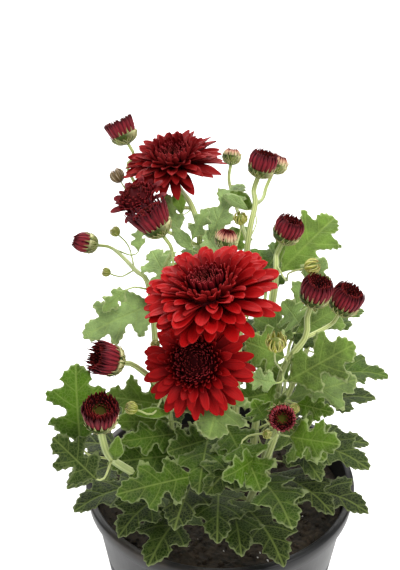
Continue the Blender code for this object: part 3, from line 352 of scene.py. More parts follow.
# Calyxes: outline from the stalk out and up, bracts in a row, and how far the last row reaches
CALYX = {
    "bloom": (((0.06, -0.43), (0.2, -0.36), (0.3, -0.27), (0.34, -0.2)), 15, 1.06),
    "half": (((0.08, -0.68), (0.24, -0.6), (0.36, -0.46), (0.42, -0.32)), 13, 1.08),
    "opening": (((0.1, -0.8), (0.38, -0.7), (0.64, -0.46), (0.78, -0.22)), 17, 1.2),
    "bud": (((0.13, -1.02), (0.5, -0.92), (0.84, -0.66), (0.97, -0.36)), 17, 1.2),
    "shut": (((0.13, -1.3), (0.5, -1.16), (0.82, -0.8), (0.97, -0.36)), 15, 1.15),
    "button": (((0.13, -1.05), (0.5, -0.95), (0.88, -0.62), (1.05, -0.1)), 15, 1.4),
}

# Blades of a whorl: samples, thickness, depth of the two ridges, points across
FAN_BLADES = {
    "petal": (PETAL_SAMPLES, PETAL_THICK, PETAL_RIDGE, PETAL_ACROSS),
    "floret": (FLORET_SAMPLES, FLORET_THICK, 0.0, STRIP_ACROSS),
}
PETAL_FOOT = 0.42
BELLY = 0.76
BELLY_DROP = 0.26
POINT_GAIN = 0.35
GOLDEN_TURN = (3 - math.sqrt(5)) / 2

# How much the petals of a whorl differ from each other, with lean and tip in degrees
PLACE_PLAY = 0.28
LENGTH_PLAY = (-0.09, 0.04)
LEAN_PLAY = 6
TIP_PLAY = 8
BEND_PLAY = 0.14
TWIST_PLAY = 0.45
BELLY_PLAY = 0.05
WIDTH_PLAY = (0.82, 1.1)
TONE_PLAY = 0.08

# Tubs of the red buds: outline from the foot up, and the height of the rim
TUBS = {
    "opening": (((0.3, -0.56), (0.58, -0.36), (0.84, 0.02), (0.95, 0.38)), 0.72),
    "bud": (((0.42, -0.78), (0.72, -0.54), (0.93, -0.16), (1.0, 0.3)), 0.78),
    "shut": (((0.42, -1.0), (0.74, -0.62), (0.95, -0.1), (0.9, 0.34)), 0.98),
    "button": (((0.42, -0.78), (0.72, -0.56), (0.95, -0.24), (0.99, 0.12)), 0.66),
}
HOLLOW_DEPTH = 0.6
HOLLOW_SHARE = 0.84

# Bud strips: where their free tips begin, how much they differ, and the rings of florets in the hollow
FREE_FROM = 0.62
FREE_SPAN = 0.38
FREE_POWER = 1.3
STRIP_CUP = -0.5
STRIP_PLAY = 0.2
STRIP_LIFTS = (-0.7, 1.0)
STRIP_FLARES = (-0.3, 0.9)
STRIP_WIDTHS = (0.8, 1.08)
LINING = (0.9, 0.78, 0.65, 0.52, 0.4)

# Rows of bracts below the last: start and end on the outline, how far they stand out, shift in their spacing
BRACT_ROWS = ((0.0, 0.62, 0.46, 0.0), (0.1, 0.88, 0.28, 0.5))
LAST_ROW_FROM = 0.3
LAST_ROW_PROUD = 0.08
BRACT_PLAY = 0.15
BRACT_LENGTHS = (0.84, 1.1)

# Heads whose last row of bracts reaches further than its kind's
COLLARS = {"bud_low_front": 1.75, "bud_left": 1.35, "bud_low_left": 1.4, "bud_right_front": 1.35}
WIDE_COLLAR = 1.5

# Green buds: outline of the bracts, core, bracts and reach of each ring, the brownish one, how open the stars
GREEN_OUTLINE = ((0.15, -1.0), (0.66, -0.74), (0.98, -0.1), (0.86, 0.5), (0.42, 0.9))
GREEN_CORE = ((0, 0.6), (0.45, 0.66), (0.82, 0.2), (0.88, -0.2), (0.6, -0.74), (0.15, -0.98), (0, -1.0))
GREEN_RINGS = ((10, 1.0), (9, 0.82))
GREEN_PLAY = 0.1
DUSKY_TIP = "tip_upper_left"
STAR_TIPS = {"tip_centre": 0.5, "tip_right": 0.15, "tip_rear": 0.4}

# Petal colours: foot, darkened partly as painted shade, body, outer half, edge and reverse, and the light
# through them all
PETAL_COLOURS = {
    "bright": (
        (0.1, 0.001, 0.003), (0.38, 0.003, 0.004), (0.5, 0.005, 0.005), (0.48, 0.03, 0.025),
        (0.34, 0.018, 0.018),
    ),
    "deep": (
        (0.11, 0.003, 0.005), (0.26, 0.007, 0.007), (0.33, 0.01, 0.01), (0.36, 0.03, 0.028),
        (0.24, 0.018, 0.018),
    ),
    "wine": (
        (0.04, 0.002, 0.003), (0.15, 0.007, 0.012), (0.24, 0.012, 0.018), (0.36, 0.07, 0.075),
        (0.15, 0.012, 0.015),
    ),
}
PETAL_GLOW = (0.75, 0.01, 0.012)
BLOOM_COLOURS = {
    "bloom_main": "bright",
    "bloom_lower": "bright",
    "bloom_rear": "deep",
    "bloom_back": "bright",
    "bloom_half": "wine",
}

# Bud strips: colours of foot, middle, grooves (painted shade between strips) and tip, where the foot's colour
# ends and the tip's begins
STRIP_LOOKS = {
    "bud": (
        (0.34, 0.07, 0.06), (0.238, 0.016, 0.026), (0.06, 0.004, 0.008), (0.045, 0.002, 0.005), 0.1, 0.55,
    ),
    # The opening look's pale pink tips are partly a painted highlight
    "opening": ((0.34, 0.06, 0.05), (0.3, 0.014, 0.03), (0.09, 0.003, 0.008), (0.42, 0.08, 0.1), 0.1, 0.62),
    "young": ((0.66, 0.58, 0.34), (0.6, 0.3, 0.2), (0.4, 0.17, 0.12), (0.13, 0.006, 0.01), 0.4, 0.56),
}
STRIP_STAGES = {
    "bud_low_front": "opening",
    "bud_middle": "young",
    "bud_rear_middle": "young",
    "bud_rear_behind": "young",
    "bud_back_low": "young",
}

# Bracts: dark, green and edge colour, where the edge begins and how strong it is
BRACT_LOOKS = {
    "calyx": ((0.04, 0.065, 0.007), (0.25, 0.32, 0.055), (0.74, 0.72, 0.36), 0.5, 0.9),
    "tip": ((0.13, 0.17, 0.02), (0.5, 0.48, 0.05), (0.74, 0.72, 0.3), 0.4, 0.8),
    "dusky": ((0.05, 0.022, 0.007), (0.3, 0.19, 0.06), (0.74, 0.62, 0.42), 0.5, 0.7),
}
BRACT_TIP = (0.4, 0.17, 0.09)
BRACT_GLOW = (0.4, 0.5, 0.12)
STALK_GLOW = (0.45, 0.6, 0.15)


# Small helpers
def unit(rows):
    """Each row scaled to length 1."""
    return rows / np.maximum(np.linalg.norm(rows, axis=-1, keepdims=True), 1e-12)


def swing(rng, most):
    """A number from -most to most."""
    return rng.uniform(-most, most)


def standing(middle, facing):
    """The placing, in millimetres, of a shape whose own +Z looks along facing."""
    up = Vector(facing).normalized()
    side = Vector((1, 0, 0)) - up * up.x
    side.normalize()
    turn = Matrix((side, up.cross(side), up)).transposed().to_4x4()
    return Matrix.Translation(Vector(middle)) @ turn


def curve_through(points, step):
    """Points about a step apart on one smooth curve through the given points."""
    knots = [Vector(point) for point in points]
    knots = [knots[0] * 2 - knots[1], *knots, knots[-1] * 2 - knots[-2]]
    path = []
    for before, start, end, after in zip(knots, knots[1:], knots[2:], knots[3:]):
        bend = 2 * before - 5 * start + 4 * end - after
        hook = 3 * start - before - 3 * end + after
        pieces = max(1, round((end - start).length / step))
        for i in range(pieces):
            t = i / pieces
            path.append(0.5 * (2 * start + (end - before) * t + bend * t**2 + hook * t**3))
    path.append(knots[-2])
    return path


class Shape:
    """One piece's mesh while it grows: points, faces, materials, and the marks that the materials read."""

    def __init__(self):
        self.points = []
        self.grow = []
        self.side = []
        self.faces = []
        self.kinds = []
        self.count = 0

    def add(self, points, faces, kind, grow, side, place=None):
        """Adds points with their marks, and faces of one material."""
        points = np.asarray(points, float).reshape(-1, 3)
        if place is not None:
            matrix = np.array(place)
            points = points @ matrix[:3, :3].T + matrix[:3, 3]
        self.points.append(points)
        self.grow.append(np.asarray(grow, float).reshape(-1, 3))
        self.side.append(np.asarray(side, float).reshape(-1, 3))
        for group in faces:
            if len(group):
                self.faces.extend((np.asarray(group) + self.count).tolist())
                self.kinds.extend([kind] * len(group))
        self.count += len(points)

    def piece(self, name, materials, smooth=True):
        """The object, in metres. Teeth and hairs that would pass the frame's box end at it."""
        mesh = bpy.data.meshes.new(name)
        low, high = np.array(cad_box)
        points = np.clip(np.concatenate(self.points) * MM, low + BOX_MARGIN, high - BOX_MARGIN)
        mesh.from_pydata(points.tolist(), [], self.faces)
        names = list(materials)
        for key in names:
            mesh.materials.append(materials[key])
        mesh.polygons.foreach_set("material_index", [names.index(kind) for kind in self.kinds])
        mesh.polygons.foreach_set("use_smooth", [smooth] * len(mesh.polygons))
        for label, rows in (("grow", self.grow), ("side", self.side)):
            marks = mesh.attributes.new(label, "FLOAT_VECTOR", "POINT")
            marks.data.foreach_set("vector", np.concatenate(rows).astype(np.float32).ravel())
        mesh.update()
        return linked(name, mesh)


def linked(name, data):
    """A new object of the scene."""
    made = bpy.data.objects.new(name, data)
    bpy.context.scene.collection.objects.link(made)
    return made


# Basic forms
def sheet_faces(rows, across):
    """Faces of a closed blade: its top sheet, its under sheet and the strip round their edge."""
    grid = np.arange(rows * across).reshape(rows, across)
    below = grid + rows * across
    a, b, c, d = grid[:-1, :-1], grid[1:, :-1], grid[1:, 1:], grid[:-1, 1:]
    quads = [np.stack([a, b, c, d], -1).reshape(-1, 4)]
    a, b, c, d = below[:-1, :-1], below[:-1, 1:], below[1:, 1:], below[1:, :-1]
    quads.append(np.stack([a, b, c, d], -1).reshape(-1, 4))
    quads.append(np.stack([grid[:-1, 0], below[:-1, 0], below[1:, 0], grid[1:, 0]], -1))
    quads.append(np.stack([grid[1:, -1], below[1:, -1], below[:-1, -1], grid[:-1, -1]], -1))
    quads.append(np.stack([grid[0, 1:], below[0, 1:], below[0, :-1], grid[0, :-1]], -1))
    quads.append(np.stack([grid[-1, :-1], below[-1, :-1], below[-1, 1:], grid[-1, 1:]], -1))
    return np.concatenate(quads)


SHEETS = {}


def blade(shape, line, half, kind, tone, cup, ridge, thick, across, place):
    """A thin closed blade along a middle line, channelled by cup and with two fine ridges along it."""
    points, sides, outs = line
    rows = len(points)
    if (rows, across) not in SHEETS:
        SHEETS[rows, across] = sheet_faces(rows, across)
    t = np.linspace(-1, 1, across)
    along = np.linspace(0, 1, rows)
    wide = half[:, None]
    lift = cup * wide * t**2 + ridge * np.sin(np.pi * along)[:, None] * np.cos(RIDGE_TURN * t)
    top = points[:, None] + sides[:, None] * (wide * t)[..., None] + outs[:, None] * lift[..., None]
    depth = thick * (1 - BLADE_THINNING * t**2) * np.ones((rows, 1))
    under = top - outs[:, None] * depth[..., None]
    s, u = np.broadcast_arrays(along[:, None], t[None])
    grow = np.stack([s, u, np.full_like(s, tone)], -1).reshape(-1, 3)
    side = np.zeros((2 * len(grow), 3))
    side[len(grow):, 0] = 1
    sheets = np.concatenate([top.reshape(-1, 3), under.reshape(-1, 3)])
    shape.add(sheets, [SHEETS[rows, across]], kind, np.concatenate([grow, grow]), side, place)


def ray(azimuth, root, length, rises, samples, bend, twist):
    """Middle line, sides and upper directions of a blade that leaves the axis at an azimuth. Its rise changes
    from root to tip, and it bends sideways and twists."""
    rise = np.radians(rises[0] + (rises[1] - rises[0]) * samples**RISE_POWER)
    turn = azimuth + bend * samples**2
    out = np.stack([np.cos(turn), np.sin(turn), np.zeros_like(turn)], -1)
    along = out * np.cos(rise)[:, None] + UP * np.sin(rise)[:, None]
    steps = 0.5 * (along[1:] + along[:-1]) * (np.diff(samples) * length)[:, None]
    start = np.array((math.cos(azimuth) * root[0], math.sin(azimuth) * root[0], root[1]))
    points = start + np.concatenate([np.zeros((1, 3)), np.cumsum(steps, 0)])
    sides = np.stack([-np.sin(turn), np.cos(turn), np.zeros_like(turn)], -1)
    outs = UP * np.cos(rise)[:, None] - out * np.sin(rise)[:, None]
    cos, sin = np.cos(twist * samples)[:, None], np.sin(twist * samples)[:, None]
    return points, sides * cos + outs * sin, outs * cos - sides * sin


def petal_half(samples, width, foot, belly, power):
    """Half the width of a petal along it: narrow at its foot, widest at its belly, and round at its tip, or
    pointed as the power nears 1."""
    rising = foot + (1 - foot) * np.sin(np.clip(samples / belly, 0, 1) * np.pi / 2) ** FOOT_POWER
    tip = np.clip(1 - ((samples - belly) / (PETAL_END - belly)) ** 2, LEAST_TIP, 1) ** power
    return 0.5 * width * np.where(samples > belly, tip, rising)


def pointed_half(samples, width, foot, belly):
    """Half the width of a bract or strip along it, with a pointed tip."""
    rising = foot + (1 - foot) * np.clip(samples / belly, 0, 1)
    tip = np.clip((1 - samples) / (1 - belly), 2 * LEAST_TIP, 1) ** POINT_POWER
    return 0.5 * width * np.where(samples > belly, tip, rising)


def spacing(points, count):
    """The room that each of count blades round the axis has at each point."""
    return FULL_TURN / count * np.linalg.norm(points[:, :2], axis=1)


def ring_of(count, shift, play, rng):
    """The azimuths of a ring of blades, each a little off its even place."""
    for i in range(count):
        yield FULL_TURN * (i + shift + swing(rng, play)) / count


def lengths_along(line):
    """The length of a line up to each of its points."""
    return np.concatenate([[0], np.cumsum(np.linalg.norm(np.diff(line, axis=0), axis=1))])


def outline_at(outline, shares):
    """Radius and height along a smooth outline."""
    line = np.array([(p.x, p.z) for p in curve_through([(r, 0, h) for r, h in outline], OUTLINE_STEP)])
    length = lengths_along(line)
    return np.stack([np.interp(shares * length[-1], length, line[:, k]) for k in (0, 1)], -1)


def rib(azimuth, outline, radius, start, end, samples, proud):
    """Middle line, sides and outward directions of a strip that follows a turned outline."""
    line = outline_at(outline, start + (end - start) * samples) * radius
    along = unit(np.gradient(line, axis=0))
    out = np.array((math.cos(azimuth), math.sin(azimuth), 0.0))
    outs = out * along[:, 1:] - UP * along[:, :1]
    points = out * line[:, :1] + UP * line[:, 1:] + outs * proud
    sides = np.tile(np.array((math.sin(azimuth), -math.cos(azimuth), 0.0)), (len(samples), 1))
    return points, sides, outs


def lathe(shape, profile, segments, kind, tone, place=None, scale=1.0, wobble=None):
    """A solid turned from (radius, height) points that run from the axis down its outer side to the axis."""
    profile = np.array(profile, float) * scale
    inner = profile[1:-1]
    angle = np.arange(segments) * 2 * np.pi / segments
    ring = np.stack([np.cos(angle), np.sin(angle)], -1)
    rows = [np.column_stack([ring * radius, np.full(segments, height)]) for radius, height in inner]
    points = np.concatenate([[(0, 0, profile[0, 1])], *rows, [(0, 0, profile[-1, 1])]])
    if wobble:
        points = wobble(points)
    index = 1 + np.arange(len(inner) * segments).reshape(len(inner), segments)
    after = np.roll(index, -1, axis=1)
    quads = np.stack([index[:-1], index[1:], after[1:], after[:-1]], -1).reshape(-1, 4)
    top = np.stack([np.zeros(segments, int), index[0], after[0]], -1)
    foot = np.stack([np.full(segments, len(points) - 1), after[-1], index[-1]], -1)
    share = np.concatenate([[0], np.repeat(np.linspace(0, 1, len(inner)), segments), [1]])
    around = np.concatenate([[0], np.tile(angle / np.pi - 1, len(inner)), [0]])
    grow = np.stack([share, around, np.full(len(points), tone)], -1)
    shape.add(points, [quads, top, foot], kind, grow, np.zeros((len(points), 3)), place)


def frames_along(path):
    """Two directions across each point of a path, turned as little as possible along it."""
    along = unit(np.gradient(path, axis=0))
    side = np.array((1.0, 0.0, 0.0)) if abs(along[0][0]) < 0.8 else np.array((0.0, 1.0, 0.0))
    across = []
    for tangent in along:
        side = side - tangent * np.dot(side, tangent)
        side = side / np.linalg.norm(side)
        across.append(side)
    across = np.array(across)
    return across, np.cross(along, across)


def tube(shape, path, radii, sides, tone, ribs=0, rib_depth=0.0):
    """A closed stalk along a path, with ribs along it."""
    path = np.array([tuple(p) for p in path], float)
    first, second = frames_along(path)
    angle = np.arange(sides) * 2 * np.pi / sides
    wide = radii[:, None] * (1 + rib_depth * np.cos(ribs * angle))[None]
    ring = path[:, None] + first[:, None] * (wide * np.cos(angle))[..., None]
    ring = ring + second[:, None] * (wide * np.sin(angle))[..., None]
    count = len(path)
    points = np.concatenate([ring.reshape(-1, 3), path[:1], path[-1:]])
    index = np.arange(count * sides).reshape(count, sides)
    after = np.roll(index, -1, axis=1)
    quads = np.stack([index[:-1], after[:-1], after[1:], index[1:]], -1).reshape(-1, 4)
    first_cap = np.stack([np.full(sides, count * sides), after[0], index[0]], -1)
    last_cap = np.stack([np.full(sides, count * sides + 1), index[-1], after[-1]], -1)
    share = np.repeat(np.linspace(0, 1, count), sides)
    around = np.tile(angle / np.pi - 1, count)
    grow = np.stack([share, around, np.full(len(share), tone)], -1)
    grow = np.concatenate([grow, [[0, 0, tone], [1, 0, tone]]])
    shape.add(points, [quads, first_cap, last_cap], "stalk", grow, np.zeros((len(points), 3)))
    return path, radii, first, second


def hair(shape, root, tip):
    """One stiff hair: a closed three-sided spike."""
    side = unit(np.cross(unit(tip - root), HAIR_TURN))
    other = np.cross(unit(tip - root), side)
    ring = [root + HAIR_RADIUS * (math.cos(a) * side + math.sin(a) * other) for a in HAIR_SIDES]
    faces = [(0, 1, 3), (1, 2, 3), (2, 0, 3), (2, 1, 0)]
    shape.add([*ring, tip], [faces], "hair", np.zeros((4, 3)), np.zeros((4, 3)))


def hairs_on_stalk(shape, line, count, length, rng):
    """Short pale hairs that stand out from a stalk."""
    path, radii, first, second = line
    for _ in range(count):
        i = rng.randrange(len(path) - 1)
        share = rng.random()
        angle = rng.random() * 2 * math.pi
        out = first[i] * math.cos(angle) + second[i] * math.sin(angle)
        root = path[i] * (1 - share) + path[i + 1] * share + out * radii[i] * HAIR_SINK
        lean = unit(path[i + 1] - path[i]) * rng.uniform(*HAIR_LEANS)
        hair(shape, root, root + unit(out + lean) * length * rng.uniform(*HAIR_LENGTHS))


# Leaves. Half of a leaf's edge, as (share of the length, share of the width, depth of its teeth)
BROAD_EDGE = (
    (0.0, 0.03, 0), (0.06, 0.08, 0), (0.11, 0.15, 0.3), (0.17, 0.28, 0.8), (0.24, 0.4, 1),
    (0.31, 0.46, 1), (0.345, 0.38, 0.8), (0.365, 0.26, 0.3), (0.4, 0.18, 0), (0.45, 0.19, 0),
    (0.5, 0.28, 0.6), (0.57, 0.4, 1), (0.65, 0.48, 1), (0.69, 0.4, 0.8), (0.705, 0.28, 0.3),
    (0.73, 0.2, 0), (0.77, 0.2, 0.3), (0.83, 0.24, 1), (0.9, 0.18, 1), (0.96, 0.08, 0.8),
)
SMALL_EDGE = (
    (0.0, 0.04, 0), (0.07, 0.09, 0), (0.14, 0.18, 0.3), (0.21, 0.31, 0.8), (0.29, 0.42, 1),
    (0.36, 0.44, 1), (0.39, 0.33, 0.6), (0.41, 0.22, 0.2), (0.45, 0.18, 0), (0.51, 0.24, 0.4),
    (0.58, 0.37, 1), (0.67, 0.46, 1), (0.71, 0.38, 0.7), (0.725, 0.25, 0.2), (0.76, 0.19, 0),
    (0.82, 0.22, 1), (0.89, 0.18, 1), (0.96, 0.08, 0.6),
)
BIG_EDGE = (
    (0.0, 0.03, 0), (0.05, 0.07, 0), (0.1, 0.14, 0.3), (0.19, 0.29, 0.8), (0.29, 0.42, 1),
    (0.385, 0.49, 1), (0.41, 0.38, 0.6), (0.405, 0.27, 0.2), (0.42, 0.19, 0), (0.48, 0.2, 0.2),
    (0.57, 0.31, 0.8), (0.69, 0.43, 1), (0.715, 0.33, 0.6), (0.71, 0.23, 0.2), (0.735, 0.17, 0),
    (0.79, 0.19, 0.6), (0.87, 0.17, 1), (0.95, 0.09, 0.8),
)
SLIM_EDGE = (
    (0.0, 0.1, 0.0), (0.18, 0.3, 0.0), (0.4, 0.47, 0.4), (0.62, 0.42, 0.4), (0.82, 0.27, 0.3),
    (0.94, 0.12, 0.0),
)

# Leaf forms: the widths and heights on the plant that decide them, folds, waves, teeth and veins
BIG_FROM = 28
BIG_ABOVE = 219
BROAD_FROM = 18
BROAD_ABOVE = 188
SLIM_UNDER = 9.5
LEAF_THICK = 0.45
LEAF_FOLD = 0.16
LEAF_WAVE = 0.05
LEAF_RUFFLE = 0.022
WAVES = 9
RUFFLES = 26
SIDE_DROOP = 0.05
SIDE_DROOP_FROM = 0.55
TIP_DROOP = 0.03
TIP_DROOP_FROM = 0.75
RIM_HALF = 0.35
LEAST_HALF = 0.02
LOBE_SHIFT = 0.012
LOBE_WIDTHS = (0.95, 1.05)
GRID_PLAY = 0.3
TOOTH = 1.25
TOOTH_SIZES = (0.6, 1.25)
LEAST_TEETH = 8
TOOTH_PATTERN = np.array((0.0, 0.55, 1.0))
FULL_TOOTH_WIDTH = 22
EDGE_STEP = 1.15
INNER_STEP = 2.1
VEIN_SPACING = 0.2
VEIN_START = 0.06
VEIN_DEPTH = 0.32
VEIN_WIDTH = 1.3
MIDRIB_SINK = 0.3

# How far side veins lean forward on their way out, less at the leaf's foot than at its tip, and the inverse
VEIN_LEAN = 0.55
VEIN_LEAN_FOOT = 0.4
VEIN_LEAN_TIP = 1.1
VEIN_LEAD = 0.22
VEIN_GAIN = 0.605

# Leaf stalks and down
STALK_BEND = 0.35
SLIM_STALK = 0.55
BROAD_STALK = 0.8
PETIOLE_RADIUS = 0.7
PETIOLE_END = 0.22
PETIOLE_SIDES = 8
PETIOLE_STEP = 2.5
MIDRIB_SHARES = (0.0, 0.12, 0.3, 0.5, 0.7)
LEAF_HAIRS = 14
LEAF_HAIR_LENGTH = 0.7
EDGE_HAIR_EVERY = 3
EDGE_HAIR_LEANS = (-0.4, 0.6)
EDGE_HAIR_LENGTHS = (0.35, 0.7)


def half_outline(edge, length, width, rng):
    """One side of a leaf's edge from its foot to its tip, in millimetres, with teeth."""
    foot = edge[0][1] * width
    knots = []
    for s, y, depth in edge:
        x = s * length + swing(rng, LOBE_SHIFT) * length
        knots.append((x, y * width * rng.uniform(*LOBE_WIDTHS), depth))
    knots = [(0.0, foot, 0.0), *knots[1:], (length, 0.0, 0.5)]
    line = np.array([tuple(p) for p in curve_through(knots, EDGE_STEP * 0.8)])
    so_far = lengths_along(line[:, :2])
    count = max(LEAST_TEETH, int(so_far[-1] / EDGE_STEP))
    place = np.linspace(0, so_far[-1], count + 1)
    line = np.stack([np.interp(place, so_far, line[:, k]) for k in range(3)], -1)
    along = unit(np.gradient(line[:, :2], axis=0))
    outward = np.stack([-along[:, 1], along[:, 0]], -1)
    pattern = TOOTH_PATTERN[np.arange(count + 1) % 3]
    size = TOOTH * np.minimum(1, width / FULL_TOOTH_WIDTH) * np.clip(line[:, 2], 0, 1) * pattern
    size *= np.array([rng.uniform(*TOOTH_SIZES) for _ in size])
    line = line[:, :2] + outward * size[:, None]
    line[0] = (0.0, foot)
    line[-1] = (length, 0.0)
    line[:, 1] = np.maximum(line[:, 1], LEAST_HALF * width * (1 - line[:, 0] / length))
    return line


def leaf_outline(edge, length, width, rng):
    """The edge of a leaf from one side of its foot round its tip to the other."""
    left = half_outline(edge, length, width, rng)
    right = half_outline(edge, length, width, rng) * (1, -1)
    return np.concatenate([left, right[-2::-1]])


def inside(points, outline):
    """Which points lie inside an outline."""
    x, y = points[:, :1], points[:, 1:]
    x0, y0 = outline[:, 0], outline[:, 1]
    x1, y1 = np.roll(x0, -1), np.roll(y0, -1)
    crosses = (y0 > y) != (y1 > y)
    with np.errstate(divide="ignore", invalid="ignore"):
        at = x0 + (y - y0) * (x1 - x0) / (y1 - y0)
    return (crosses & (x < at)).sum(1) % 2 == 1


def clearance(points, others):
    """How far each point is from the nearest of the others."""
    return np.sqrt(((points[:, None] - others[None]) ** 2).sum(-1)).min(1)


def vein_points(length, width, outline):
    """Points along the midrib and the side veins of a leaf."""
    along = np.arange(0.04, 0.97, INNER_STEP / length)
    found = [np.stack([along, np.zeros_like(along)], -1)]
    for start in np.arange(VEIN_START, 0.9, VEIN_SPACING):
        off = np.arange(0.06, 0.5, INNER_STEP / width)
        along = (start + VEIN_LEAD * off) / (1 - VEIN_GAIN * off)
        found += [np.stack([along, off], -1), np.stack([along, -off], -1)]
    found = np.concatenate(found) * (length, width)
    found = found[inside(found, outline)]
    return found[clearance(found, outline) > 0.45 * EDGE_STEP]


def vein_gap(along, off):
    """Distance from the nearest vein, in shares of the leaf's length."""
    start = along - VEIN_LEAN * np.abs(off) * (VEIN_LEAN_FOOT + VEIN_LEAN_TIP * along)
    place = (start - VEIN_START) / VEIN_SPACING
    side = np.abs(place - np.round(place)) * VEIN_SPACING
    return np.minimum(side, np.abs(off) * 0.8)


def leaf_net(outline, length, width, rng):
    """Points on a leaf's edge, on its veins and between them, and the triangles that join them."""
    veins = vein_points(length, width, outline)
    steps = (np.arange(INNER_STEP / 2, length, INNER_STEP), np.arange(-width / 2, width / 2, INNER_STEP))
    grid = np.stack(np.meshgrid(*steps), -1).reshape(-1, 2)
    grid += np.array([(swing(rng, GRID_PLAY), swing(rng, GRID_PLAY)) for _ in grid])
    grid = grid[inside(grid, outline)]
    grid = grid[clearance(grid, outline) > 0.7 * EDGE_STEP]
    if len(veins) and len(grid):
        grid = grid[clearance(grid, veins) > 0.45 * INNER_STEP]
    points = [Vector(p) for p in np.concatenate([outline, veins, grid]).tolist()]
    flat = geometry.delaunay_2d_cdt(points, [], [list(range(len(outline)))], 1, 1e-5)
    return np.array([tuple(v) for v in flat[0]]), np.array(flat[2])


def border_of(faces):
    """The directed sides that only one triangle has."""
    ends = np.concatenate([faces[:, [0, 1]], faces[:, [1, 2]], faces[:, [2, 0]]])
    keys = dict.fromkeys(map(tuple, ends.tolist()))
    return np.array([(a, b) for a, b in keys if (b, a) not in keys])


def leaf_rise(s, off, length, width, arch, phase):
    """How far a leaf's points stand out of its plane, by its arch, fold, waves, droop and sunk veins."""
    far = np.abs(off)
    bulge = arch * length * 4 * s * (1 - s)
    fold = LEAF_FOLD * far * width
    wave = LEAF_WAVE * width * far * np.sin(WAVES * s + phase)
    ruffle = LEAF_RUFFLE * width * (2 * far) ** 2 * np.sin(RUFFLES * s + 2 * phase + np.sign(off))
    droop = -SIDE_DROOP * width * np.clip(2 * far - SIDE_DROOP_FROM, 0, 1)
    droop = droop - TIP_DROOP * length * np.clip(s - TIP_DROOP_FROM, 0, 1) * 4
    gap = vein_gap(s, off) * length
    sunk = VEIN_DEPTH * (1 - np.exp(-((gap / VEIN_WIDTH) ** 2))) - VEIN_DEPTH * 0.5
    return bulge + fold + wave + ruffle + droop + sunk


def leaf_frame(base, tip, face):
    """Along, across and out of a leaf, as unit directions."""
    along = (Vector(tip) - Vector(base)).normalized()
    out = Vector(face) - along * Vector(face).dot(along)
    out.normalize()
    return along, out.cross(along), out


def leaf_stalk(shape, carrier, base, along, out, length, arch, slim, tone):
    """A leaf's stalk, from the nearest lower place on what carries it to the middle of its underside."""
    foot = min(carrier[2:], key=lambda place: (place - base).length + 1.5 * max(0.0, place.z - base.z + 4))
    bend = base - along * STALK_BEND * (base - foot).length
    path = [foot, (foot + 2 * bend + base) / 4]
    for share in MIDRIB_SHARES:
        rise = arch * length * 4 * share * (1 - share) - VEIN_DEPTH * 0.5 - MIDRIB_SINK
        path.append(base + along * share * length + out * rise)
    path = curve_through(path, PETIOLE_STEP)
    thin = SLIM_STALK if slim else BROAD_STALK
    radii = np.linspace(PETIOLE_RADIUS * thin * 1.05, PETIOLE_END, len(path))
    return tube(shape, path, radii, PETIOLE_SIDES, 0.35 + 0.3 * tone)


def leaf_edge(base, width):
    """The kind of edge that a leaf has, by its width and its height on the plant."""
    if width <= SLIM_UNDER:
        return SLIM_EDGE
    if width >= BIG_FROM and base.z > BIG_ABOVE:
        return BIG_EDGE
    if width >= BROAD_FROM and base.z > BROAD_ABOVE:
        return BROAD_EDGE
    return SMALL_EDGE


def leaf(shape, carrier, base, tip, width, face, arch, tone, rng):
    """A thin lobed leaf with teeth, sunk veins, a midrib and a stalk, and with down where it shows."""
    base, tip = Vector(base), Vector(tip)
    along, across, out = leaf_frame(base, tip, face)
    length = (tip - base).length
    spots, faces = leaf_net(leaf_outline(leaf_edge(base, width), length, width, rng), length, width, rng)
    x, y = spots[:, :1], spots[:, 1:]
    s, off = spots[:, 0] / length, spots[:, 1] / width
    height = leaf_rise(s, off, length, width, arch, rng.uniform(0, 6))[:, None]
    middle = np.array(base) + x * np.array(along) + y * np.array(across) + height * np.array(out)
    border = border_of(faces)
    count = len(spots)
    rim = np.zeros(count)
    rim[border.ravel()] = 1
    thick = LEAF_THICK * np.where(rim > 0, RIM_HALF, 0.5)[:, None] * np.array(out)
    a, b = border.T
    sides = np.stack([b, a, a + count, b + count], -1)
    grow = np.stack([s, 2 * off, np.full(count, tone)], -1)
    marks = [np.stack([np.full(count, under), rim, np.zeros(count)], -1) for under in (0, 1)]
    sheets = [faces, faces[:, ::-1] + count, sides]
    shape.add([middle + thick, middle - thick], sheets, "leaf", [grow, grow], marks)
    line = leaf_stalk(shape, carrier, base, along, out, length, arch, width <= SLIM_UNDER, tone)
    if base.z > BROAD_ABOVE:
        hairs_on_stalk(shape, line, LEAF_HAIRS, LEAF_HAIR_LENGTH, rng)
        hairs_on_edge(shape, middle, middle[a], out, rng)


def hairs_on_edge(shape, middle, edge, out, rng):
    """Pale hairs at every third point of a leaf's edge."""
    centre = middle.mean(0)
    for place in edge[::EDGE_HAIR_EVERY]:
        away = unit(place - centre)
        lean = np.array(out) * rng.uniform(*EDGE_HAIR_LEANS)
        hair(shape, place, place + (away + lean) * rng.uniform(*EDGE_HAIR_LENGTHS))


# Flower heads
def fullness(name, place, azimuth):
    """The share of a petal's length that is left where another bloom takes its room."""
    if name != LOWER_BLOOM:
        return 1.0
    out = place.to_3x3() @ Vector((math.cos(azimuth), math.sin(azimuth), 0))
    crowded = CROWDED_SHARE * max(0.0, out.dot(Vector(CROWDED_SIDE).normalized())) ** 2
    return 1 - crowded + LONGER_RIGHT * out.x


